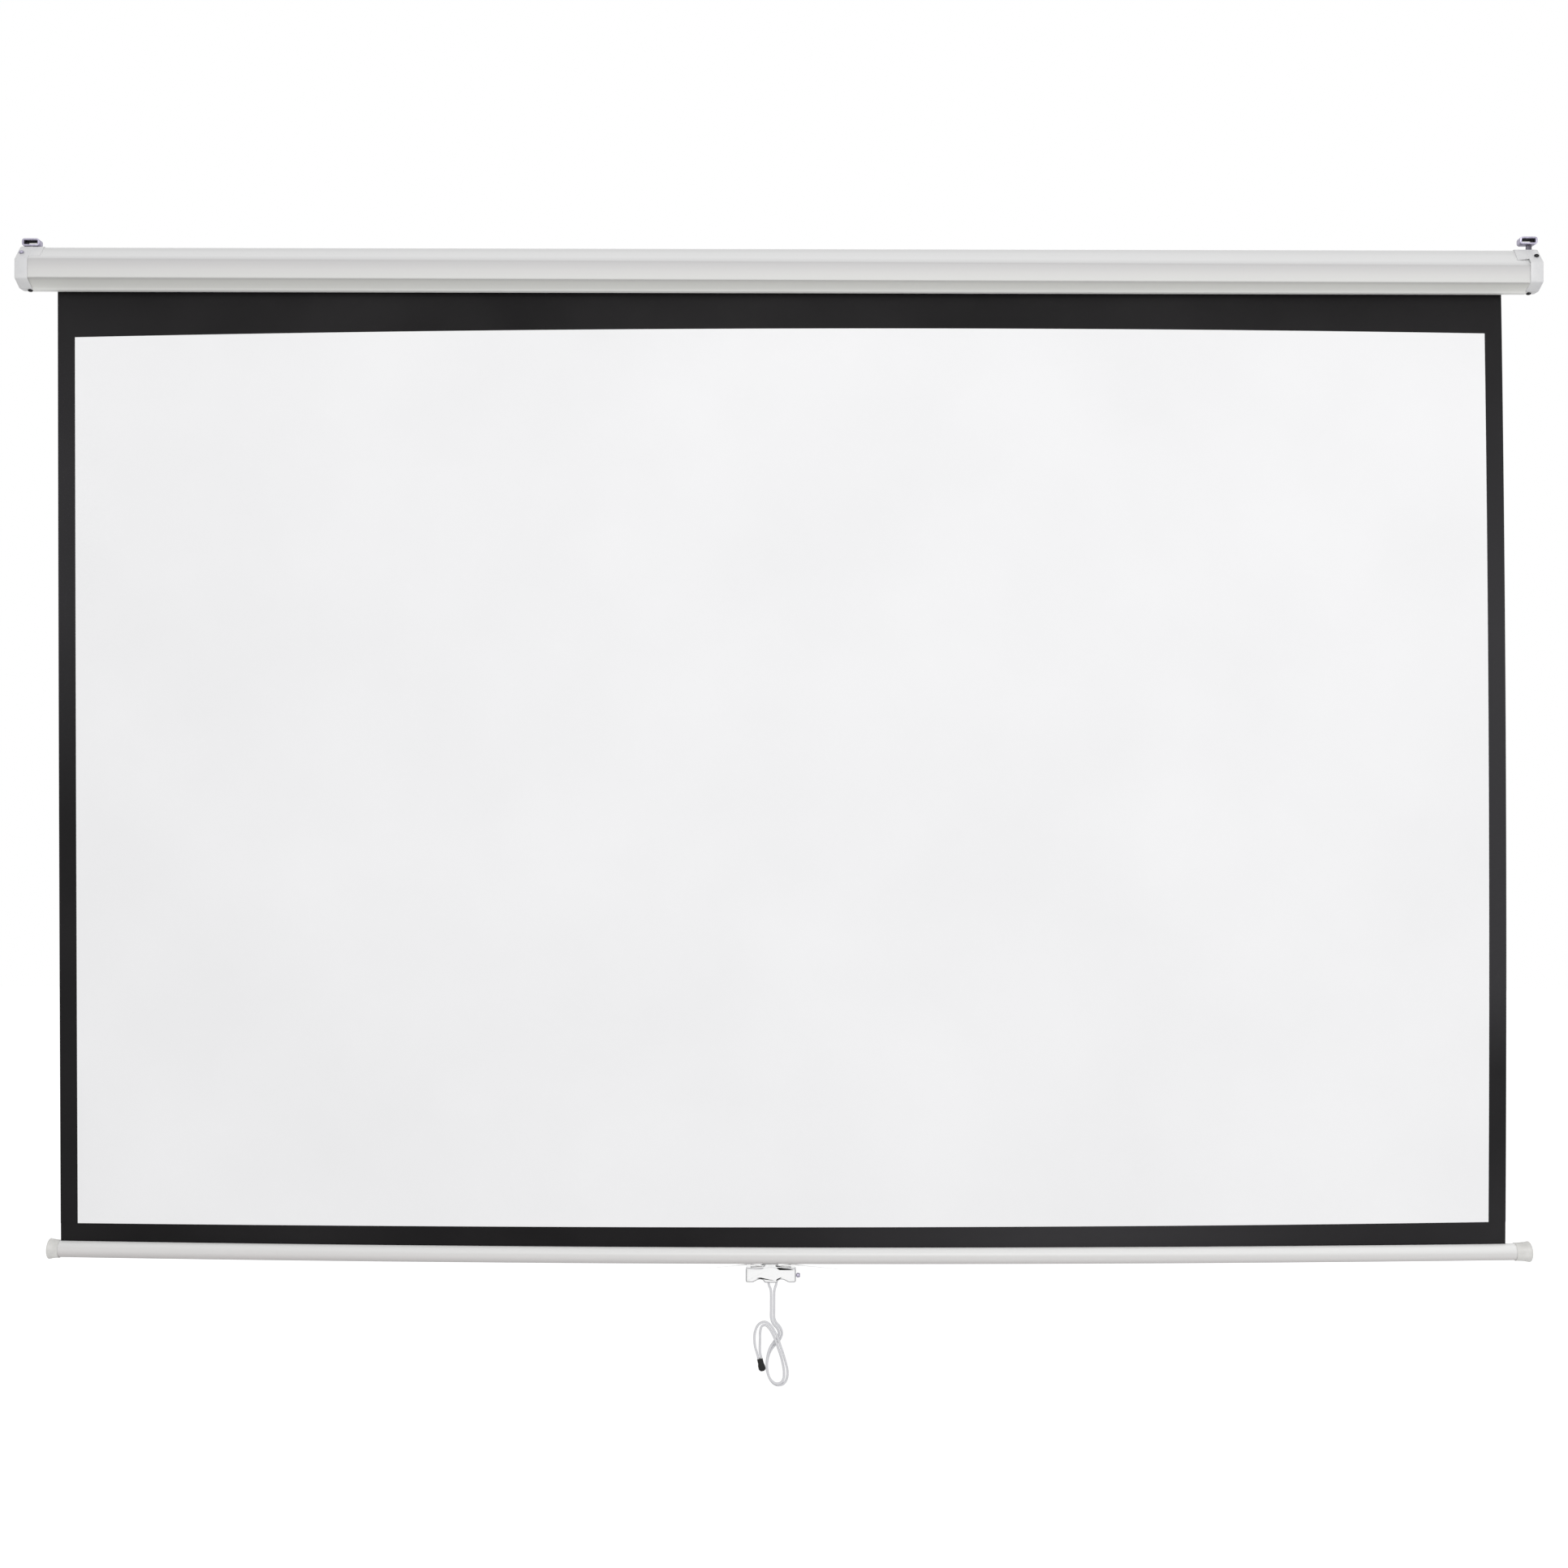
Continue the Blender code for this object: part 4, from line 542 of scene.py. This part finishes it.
def dress(names, material):
    """Gives a material to parts of the frame that show as they are."""
    for name in names:
        nodes[name].data.materials.clear()
        nodes[name].data.materials.append(material)


# Drawn steel: bare and oiled, grey with fine lines along its length.
drawn_steel, tree, shader = finish_of("drawn_steel", "#A6A6A4", 0.32, 1.0)
grain(tree, shader, 0.0008, 0.00001, DRAWN_LINES)

steel_parts = ["roller_tube", "idler_pin", "spring_spindle", "torsion_spring", "ratchet_wheel"]
steel_parts += ["pawl_upper", "pawl_lower", "pawl_pin_upper", "pawl_pin_lower", "hem_rod"]
dress(steel_parts, drawn_steel)
dress(["idler_plug", "idler_bush", "roller_head", "spring_anchor"], black_nylon)


# The sheet is glass cloth coated with PVC: matt white in front with a black border printed round
# it, and black behind. It drops from the back of the roller and its hem is held in the bar.
CLOTH_THICKNESS = 0.0004
CLOTH_TOP = -0.002  # where the cloth leaves the roller
CLOTH_COLUMNS = 80
CLOTH_ROWS = 50
FOOT_ROWS = 6
CLOTH_EDGES_TOP = (-1.0991, 1.1004)  # the cloth's left and right edges at the case
CLOTH_EDGES_MIDDLE = (-1.0959, 1.1093)
CLOTH_EDGES_FOOT = (-1.0915, 1.1102)
SIDE_BORDER = (0.0262, 0.0263)  # width of the black border at the left and right
WHITE_TOP = -0.09715  # of the white area, at its sides
WHITE_FOOT = -1.44715
WHITE_ARCH = 0.0115  # its top edge stands this much higher at its middle
TOP_TILT = 0.0045  # and climbs this much per metre to the right
FOOT_TILT = 0.0030  # as its lower edge does by this much
BAR_MIDDLE = 0.0172
BAR_HALF_LENGTH = 1.1315
BAR_BOW = 0.0085  # the bar hangs this much lower at its middle
BAR_RADIUS = 0.0125
BAR_HEIGHT = -1.48965  # of the bar's middle line at its ends
HEM_RISE = 0.0117  # from there to the foot of the cloth
HEM_HEIGHT = BAR_HEIGHT + HEM_RISE
FOOT_OVERLAP = 0.025  # white cloth above the border that travels with the bar
FOOT_SETBACK = 0.0006  # the cloth's foot hangs this much behind the long piece
CUT_REACH = 0.000001  # a cut this close to a point goes through it
FORWARD = -0.5  # faces that look further forward than this are the cloth's front
# Places where the black border is drawn lighter: along most of its right side this is a painted
# sheen of the lamps at the right; on the upper half of its left side and the right half of its foot
# it is only lighter. Each has its strength, up to 1, and its limits. A limit is a direction, across
# (X) or up (Y), the place in metres where the lightening starts along it, the place where it is
#     full, and
# the share that is there before the start.
LIGHTER_BORDER_PLACES = (
    (1.0, (("X", 1.2, 2.2, 0.0), ("Y", -0.05, -0.55, 0.0), ("Y", -1.22, -1.09, 0.2))),
    (0.65, (("X", 0.3, 0.0, 0.0), ("Y", -0.05, -0.3, 0.0), ("Y", -0.85, -0.5, 0.0))),
    (0.85, (("X", 0.95, 1.5, 0.0), ("X", 2.0, 1.6, 0.2), ("Y", -1.34, -1.42, 0.0))),
)


def bow_share(x):
    """1 at the bar's middle and 0 at its ends."""
    return 1 - ((x - BAR_MIDDLE) / BAR_HALF_LENGTH) ** 2


def between(three, share):
    """A smooth value through three values at 0, 0.5 and 1."""
    first, middle, last = three
    return (
        first * (1 - share) * (1 - 2 * share)
        + 4 * middle * share * (1 - share)
        + last * share * (2 * share - 1)
    )


def hang_cloth(bm, setback):
    """Moves the flat cloth, drawn as width share and height, to where it hangs."""
    lefts, rights = zip(CLOTH_EDGES_TOP, CLOTH_EDGES_MIDDLE, CLOTH_EDGES_FOOT)
    for v in bm.verts:
        across, z = v.co.x, v.co.z
        down = clamp((bottom - z) / (bottom - HEM_HEIGHT))
        left, right = between(lefts, down), between(rights, down)
        x = left + (right - left) * across
        if z < bottom:
            arch = clamp((bottom - z) / (bottom - WHITE_TOP))
            share = clamp((WHITE_TOP - z) / (WHITE_TOP - BAR_HEIGHT - BAR_RADIUS))
            z += bow_share(x) * (WHITE_ARCH * arch * (1 - share) - BAR_BOW * share)
            hem = clamp((WHITE_FOOT - z) / (WHITE_FOOT - BAR_HEIGHT - BAR_RADIUS))
            z += x * (TOP_TILT * arch * (1 - share) + FOOT_TILT * share * (1 - hem))
        v.co = (x, SHEET_PLANE + setback, z)


def make_cloth(high, low, rows, setback):
    """A length of the cloth from one height to another, cut along the edge of its white area."""
    bm = bmesh.new()
    bmesh.ops.create_grid(bm, x_segments=CLOTH_COLUMNS, y_segments=rows, size=0.5)
    upright = Matrix(
        ((1, 0, 0, 0.5), (0, 0, -1, 0), (0, high - low, 0, (high + low) / 2), (0, 0, 0, 1))
    )
    bmesh.ops.transform(bm, matrix=upright, verts=bm.verts)
    width = CLOTH_EDGES_MIDDLE[1] - CLOTH_EDGES_MIDDLE[0]
    inner = (SIDE_BORDER[0] / width, 1 - SIDE_BORDER[1] / width)
    cuts = [((share, 0, 0), (1, 0, 0)) for share in inner]
    cuts += [((0, 0, z), (0, 0, 1)) for z in (WHITE_TOP, WHITE_FOOT, bottom)]
    for point, normal in cuts:
        geometry = bm.verts[:] + bm.edges[:] + bm.faces[:]
        bmesh.ops.bisect_plane(
            bm, geom=geometry, plane_co=point, plane_no=normal, dist=CUT_REACH
        )
    uv = bm.loops.layers.uv.new("cloth")
    for face in bm.faces:
        centre = face.calc_center_median()
        white = inner[0] < centre.x < inner[1] and WHITE_FOOT < centre.z < WHITE_TOP
        face.material_index = 0 if white else 1
        for loop in face.loops:
            loop[uv].uv = (loop.vert.co.x * width, loop.vert.co.z)
    hang_cloth(bm, setback)
    # The white side has to face forward before the cloth gets its thickness.
    bmesh.ops.recalc_face_normals(bm, faces=bm.faces)
    bm.normal_update()
    if bm.faces[:][0].normal.y > 0:
        bmesh.ops.reverse_faces(bm, faces=bm.faces)
    bmesh.ops.solidify(bm, geom=bm.faces[:], thickness=CLOTH_THICKNESS)
    bm.normal_update()
    for face in bm.faces:
        if face.normal.y > FORWARD:
            face.material_index = 1
    return bm


# PVC-coated glass cloth: dead matt so that it doesn't glare, with the faintest emboss. The real
# emboss is 0.3 mm wide and is drawn three times as coarse here.
matt_white, tree, shader = finish_of("matt_white_pvc", "#F2F2F3", 0.92, specular=0.2)
grain(tree, shader, 0.001, 0.000018, source="UV")
patches(tree, shader, "#F0F0F1", "#F4F4F5", 0.35, source="UV")

# The border is black ink on the same cloth: as matt, with a little more sheen. It is drawn lighter
# along most of its right side, as painted sheen of the lamps, and on the upper half of its left side
# and the right half of its foot.
matt_black, tree, shader = finish_of("matt_black_border", "#1A191A", 0.62, specular=0.1)
grain(tree, shader, 0.001, 0.00002, source="UV")
full_ink = patches(tree, shader, "#171617", "#222122", 0.3, source="UV")
place = add_node(tree, "ShaderNodeTexCoord")
parts = add_node(tree, "ShaderNodeSeparateXYZ", {"Vector": place.outputs["UV"]})
lighter_share = 0.0
for strength, limits in LIGHTER_BORDER_PLACES:
    amount = strength
    for axis, start, end, least in limits:
        values = {"Value": parts.outputs[axis], "From Min": start, "From Max": end, "To Min": least}
        spread = add_node(tree, "ShaderNodeMapRange", values)
        product = add_node(
            tree, "ShaderNodeMath", {0: spread.outputs[0], 1: amount}, operation="MULTIPLY"
        )
        amount = product.outputs[0]
    lighter_share = add_node(tree, "ShaderNodeMath", {0: amount, 1: lighter_share}, operation="ADD").outputs[0]
# The lighter grey mixed in here is painted sheen on the right side and only a lighter tone
# elsewhere.
ink = add_node(
    tree,
    "ShaderNodeMix",
    {"Factor": lighter_share, "A": full_ink.outputs["Result"], "B": colour("#353436")},
    data_type="RGBA",
)
tree.links.new(ink.outputs["Result"], shader.inputs["Base Color"])

inks = [matt_white, matt_black]
bm = make_cloth(CLOTH_TOP, WHITE_FOOT, CLOTH_ROWS, 0.0)
cloth = finished("cloth", bm, inks, "housing", ["screen_sheet"])
bm = make_cloth(WHITE_FOOT + FOOT_OVERLAP, HEM_HEIGHT, FOOT_ROWS, FOOT_SETBACK)
foot = finished("cloth_foot", bm, inks, "bar", ["screen_sheet"])
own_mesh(cloth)
dress(["screen_wraps"], matt_black)


# The bar that weighs the sheet down is a thin steel tube coated white, slotted along its top for
# the hem. It hangs bowed, a little lower at its middle, where it is pulled.
BAR_WALL = 0.0012
BAR_SLOT = 0.003
BAR_SEGMENTS = 72
BAR_STATIONS = 40
LEFT_END_SET = 0.0050  # the tube is drawn this much shorter than its solid, at its left end
# Painted shade and highlight round the tube, from its darker underside at -1 to its lighter top at
# 1.
# The tones lean by this much per metre, painted light that makes the tube lighter toward its right
# end.
PAINTED_LIGHT_LEAN = 0.2
PAINTED_TUBE_SHADING = (
    (-1.0, "#C6C3C2"),
    (-0.6, "#CFCCCB"),
    (-0.2, "#D9D7D6"),
    (0.2, "#DAD9D8"),
    (0.6, "#E6E6E5"),
    (1.0, "#F6F6F5"),
)


def bar_middle_line(x):
    """Height of the bowed bar's middle line."""
    return BAR_HEIGHT - BAR_BOW * bow_share(x)


# The bar's coat is the case's, a shade lighter; it has a soft gloss along the tube.
coated_tube, tree, shader = finish_of("white_coated_tube", "#DCDBDA", 0.36)
grain(tree, shader, 0.002, 0.00001)
place = add_node(tree, "ShaderNodeTexCoord")
parts = add_node(tree, "ShaderNodeSeparateXYZ", {"Vector": place.outputs["UV"]})
# Painted shade and highlight: darker underneath, lighter on top, and lighter toward the right end.
leaning = add_node(
    tree,
    "ShaderNodeMath",
    {0: parts.outputs["X"], 1: PAINTED_LIGHT_LEAN, 2: parts.outputs["Y"]},
    operation="MULTIPLY_ADD",
)
tone_ramp(tree, shader, leaning.outputs[0], PAINTED_TUBE_SHADING)

tube_low, tube_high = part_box("weight_bar")
tube_start = tube_low.x + LEFT_END_SET
bm = bmesh.new()
ring = bmesh.ops.create_circle(bm, segments=BAR_SEGMENTS, radius=BAR_RADIUS)["verts"]
bmesh.ops.rotate(bm, verts=ring, matrix=Matrix.Rotation(math.radians(90), 3, "Y"))
bmesh.ops.translate(bm, verts=ring, vec=(tube_start, 0, 0))
slot_points = {v for v in ring if v.co.z > 0 and abs(v.co.y) < BAR_SLOT / 2}
over_slot = [edge for edge in bm.edges if slot_points.issuperset(edge.verts)]
bmesh.ops.delete(bm, geom=over_slot, context="EDGES")
edges = bm.edges[:]
step = (tube_high.x - tube_start) / BAR_STATIONS
for _ in range(BAR_STATIONS):
    made = bmesh.ops.extrude_edge_only(bm, edges=edges)["geom"]
    edges = [e for e in made if isinstance(e, bmesh.types.BMEdge)]
    moved = [v for v in made if isinstance(v, bmesh.types.BMVert)]
    bmesh.ops.translate(bm, vec=(step, 0, 0), verts=moved)
uv = bm.loops.layers.uv.new("tube")
for face in bm.faces:
    for loop in face.loops:
        loop[uv].uv = (loop.vert.co.x, loop.vert.co.z / BAR_RADIUS)
for v in bm.verts:
    v.co.y += SHEET_PLANE
    v.co.z += bar_middle_line(v.co.x)
# The tube's outer side has to face outwards before it gets its thickness.
bmesh.ops.recalc_face_normals(bm, faces=bm.faces)
bm.faces.ensure_lookup_table()
centre = bm.faces[0].calc_center_median()
outward = centre - Vector((centre.x, SHEET_PLANE, bar_middle_line(centre.x)))
if bm.faces[0].normal.dot(outward) < 0:
    bmesh.ops.reverse_faces(bm, faces=bm.faces)
bmesh.ops.solidify(bm, geom=bm.faces[:], thickness=BAR_WALL)
finished("coated_tube", bm, [coated_tube], "bar", ["weight_bar"])


# A domed cap moulded in ABS closes each end of the bar. Its sleeve slips over the tube and flares
# toward the rim of the dome.
BAR_CAP_LENGTH = {"left": 0.6, "right": 0.85}  # from its dome, as a share of its solid's
BAR_CAP_SHIFT = {"left": LEFT_END_SET, "right": -0.0005}  # how far right of its solid it is drawn

# Warm white ABS: moulded as the case's caps are, with the same low gloss, but a little yellower.
bar_cap_abs, tree, shader = finish_of("warm_white_abs", "#DAD9D6", 0.4)
grain(tree, shader, 0.0012, 0.000012)
patches(tree, shader, "#D4D3D0", "#E0DFDC", 0.01)

# A cap's dome lies at its box's low corner on the left, and at its high one on the right.
for end, side in enumerate(("left", "right")):
    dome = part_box(f"bar_cap_{side}")[end].x
    softened(
        f"bar_cap_{side}",
        f"flared_cap_{side}",
        [bar_cap_abs],
        "bar",
        edge=0.0,
        sharp=50.0,
        move=grown((dome, 0, 0), (BAR_CAP_LENGTH[side], 1, 1), (BAR_CAP_SHIFT[side], 0, 0)),
    )


# The pull grip is moulded in glossy white ABS: a waisted bar on two short feet and a saddle that
# meet the tube, with two finger gaps. Two screws hold it and a small zinc stud sits in its end.
GRIP_RIM = 0.0013  # width of the rim round its flat front and back
GRIP_SET = 0.0009  # how far the rim falls away from them
FACE_ON = 0.95  # faces that look straighter than this to the front or back are its flat sides
SIDE_ON = 0.3  # and those between this and that are their rim
STUD_SHAPE = (1.45, 1.5, 1.5)  # the drawn stud's size, as shares of its solid's

# Glossy ABS: purer white than the case, smooth enough to mirror the soft boxes a little.
glossy_abs, tree, shader = finish_of("glossy_white_abs", "#FDFDFD", 0.3)
grain(tree, shader, 0.0025, 0.000015)

# Its rim: the same ABS without the gloss, drawn greyer as painted shade along the grip's turning
# edges.
rim_shade_abs, tree, shader = finish_of("painted_shade_rim_abs", "#BEBEC0", 0.7, specular=0.2)
grain(tree, shader, 0.001, 0.00003)

bm = merged_copy("pull_handle")
bm.normal_update()
fronts = [face for face in bm.faces if abs(face.normal.y) > FACE_ON]
for side in (-1, 1):
    faces = [face for face in fronts if face.normal.y * side > 0]
    rim = {v for face in faces for edge in face.edges for v in edge.verts}
    bmesh.ops.inset_region(
        bm, faces=faces, thickness=GRIP_RIM, depth=0.0, use_even_offset=True, use_boundary=True
    )
    inner = {v for face in faces for v in face.verts}
    bmesh.ops.translate(bm, verts=list(rim - inner), vec=(0, -side * GRIP_SET, 0))
bm.normal_update()
# The rim's faces take the greyer ABS, a painted shade along the grip's edges.
for face in bm.faces:
    face.material_index = 1 if SIDE_ON < abs(face.normal.y) < FACE_ON else 0
finished("moulded_grip", bm, [glossy_abs, rim_shade_abs], "bar", ["pull_handle"])
dress(["handle_screw_left", "handle_screw_right"], blackened_steel)
low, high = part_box("handle_stud")
softened(
    "handle_stud",
    "zinc_stud",
    [zinc_plate],
    "bar",
    edge=0.0003,
    move=grown((low.x, (low.y + high.y) / 2, (low.z + high.z) / 2), STUD_SHAPE),
)


# The pull cord is white braided polyester, 3.8 mm thick. Its two strands leave the grip apart,
# run as a pair through a loose knot and one hanging loop, and end in one black rubber piece.
CORD_DIAMETER = 0.0038
CORD_TOP = (-0.0067, SHEET_PLANE, -1.53895)
CORD_POINTS = 150
CORD_LOOK = 0.05  # the route's direction is taken over this much of a step before and after
TIP_SHAPE = (1.12, 1.12, 1.0)  # the drawn tip's size, as shares of its solid's
TIP_SHIFT = (0.0026, 0, 0)  # how far from its solid it is drawn
# The pair's middle line from the grip, half the strands' spacing, and the pair's turn in degrees.
CORD_ROUTE = [
    (0.0, 0.0, 0.0, 0.006, 0),
    (0.0, 0.0, -0.0038, 0.0055, 0),
    (0.0002, 0.0, -0.0095, 0.0034, 0),
    (0.0002, 0.0, -0.016, 0.0024, 0),
    (0.0002, 0.0, -0.03, 0.0023, 0),
    (0.0002, 0.0, -0.0422, 0.0023, 0),
    (0.0004, 0.0003, -0.0545, 0.0023, 5),
    (0.0036, 0.001, -0.0627, 0.0022, 5),
    (0.0095, 0.0025, -0.07, 0.0022, 0),
    (0.0123, 0.004, -0.0785, 0.0022, 0),
    (0.0096, 0.0046, -0.0867, 0.0022, 0),
    (0.004, 0.0044, -0.0934, 0.0022, 10),
    (-0.0023, 0.003, -0.1016, 0.0022, 40),
    (-0.0066, 0.0015, -0.1124, 0.0022, 72),
    (-0.0083, 0.0005, -0.125, 0.0022, 88),
    (-0.0072, 0.0, -0.1374, 0.0022, 92),
    (-0.0026, 0.0, -0.1486, 0.0022, 105),
    (0.0054, 0.0, -0.1552, 0.0022, 130),
    (0.0143, 0.0, -0.1542, 0.0022, 158),
    (0.0195, -0.0002, -0.147, 0.0024, 175),
    (0.0204, -0.001, -0.1354, 0.0027, 180),
    (0.0182, -0.0025, -0.1226, 0.0024, 180),
    (0.0147, -0.0038, -0.1094, 0.0022, 180),
    (0.0108, -0.0046, -0.0978, 0.0022, 180),
    (0.0072, -0.0046, -0.087, 0.0022, 180),
    (0.0027, -0.004, -0.0771, 0.0022, 180),
    (-0.003, -0.0028, -0.0681, 0.0022, 180),
    (-0.0104, -0.0014, -0.0625, 0.0023, 180),
    (-0.0185, -0.0005, -0.0655, 0.0028, 180),
    (-0.0225, 0.0, -0.0756, 0.0039, 180),
    (-0.0231, 0.0, -0.0867, 0.0043, 180),
    (-0.0227, 0.0, -0.0978, 0.0036, 180),
    (-0.0212, 0.0, -0.1069, 0.0024, 180),
    (-0.0198, 0.0, -0.1126, 0.0022, 180),
    (-0.019, 0.0, -0.1163, 0.0022, 180),
]


def smooth_between(values, at):
    """A value on a smooth line through a list of values, at being 0 to its last index."""
    i = min(int(at), len(values) - 2)
    t = at - i
    before = values[max(i - 1, 0)]
    after = values[min(i + 2, len(values) - 1)]
    here, there = values[i], values[i + 1]
    rise = (there - before) / 2
    fall = (after - here) / 2
    return (
        here * (2 * t**3 - 3 * t**2 + 1)
        + rise * (t**3 - 2 * t**2 + t)
        + there * (3 * t**2 - 2 * t**3)
        + fall * (t**3 - t**2)
    )


def strand_points(side):
    """The points of one strand of the pair."""
    middles = [Vector(CORD_TOP) + Vector(row[:3]) for row in CORD_ROUTE]
    spacings = [row[3] for row in CORD_ROUTE]
    turns = [math.radians(row[4]) for row in CORD_ROUTE]
    last = len(middles) - 1
    points = []
    for k in range(CORD_POINTS):
        at = last * k / (CORD_POINTS - 1)
        ahead = smooth_between(middles, min(at + CORD_LOOK, last))
        behind = smooth_between(middles, max(at - CORD_LOOK, 0.0))
        along = (ahead - behind).normalized()
        across = along.cross(Vector((0, 1, 0))).normalized()
        deep = across.cross(along).normalized()
        turn = smooth_between(turns, at)
        reach = (across * math.cos(turn) + deep * math.sin(turn)) * smooth_between(spacings, at)
        points.append(smooth_between(middles, at) + reach * side)
    return points


# Braided polyester: soft white yarn, so the cord has a matt face and a fine crossing relief.
braided_yarn, tree, shader = finish_of("white_braided_yarn", "#D9D9DC", 0.85, specular=0.2)
grain(tree, shader, 0.0009, 0.00015)

# Rubber: dull black, with a soft rounded highlight.
black_rubber, tree, shader = finish_of("black_rubber", "#141414", 0.6, specular=0.35)
grain(tree, shader, 0.0008, 0.00003)
low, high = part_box("cord_tip")
tip = softened(
    "cord_tip",
    "rubber_tip",
    [black_rubber],
    "bar",
    edge=0.0014,
    segments=4,
    move=grown((low + high) / 2, TIP_SHAPE, TIP_SHIFT),
)

for name, side in (("a", 1), ("b", -1)):
    points = strand_points(side)
    data = bpy.data.curves.new(f"braided_cord_{name}", "CURVE")
    data.dimensions = "3D"
    data.bevel_depth = CORD_DIAMETER / 2
    data.bevel_resolution = 5
    data.use_fill_caps = True
    spline = data.splines.new("POLY")
    spline.points.add(len(points) - 1)
    for place, point in zip(spline.points, points):
        place.co = (*point, 1.0)
    data.materials.append(braided_yarn)
    cord = bpy.data.objects.new(f"braided_cord_{name}", data)
    bpy.context.collection.objects.link(cord)
    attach(cord, "bar")
    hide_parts(f"cord_strand_{name}")
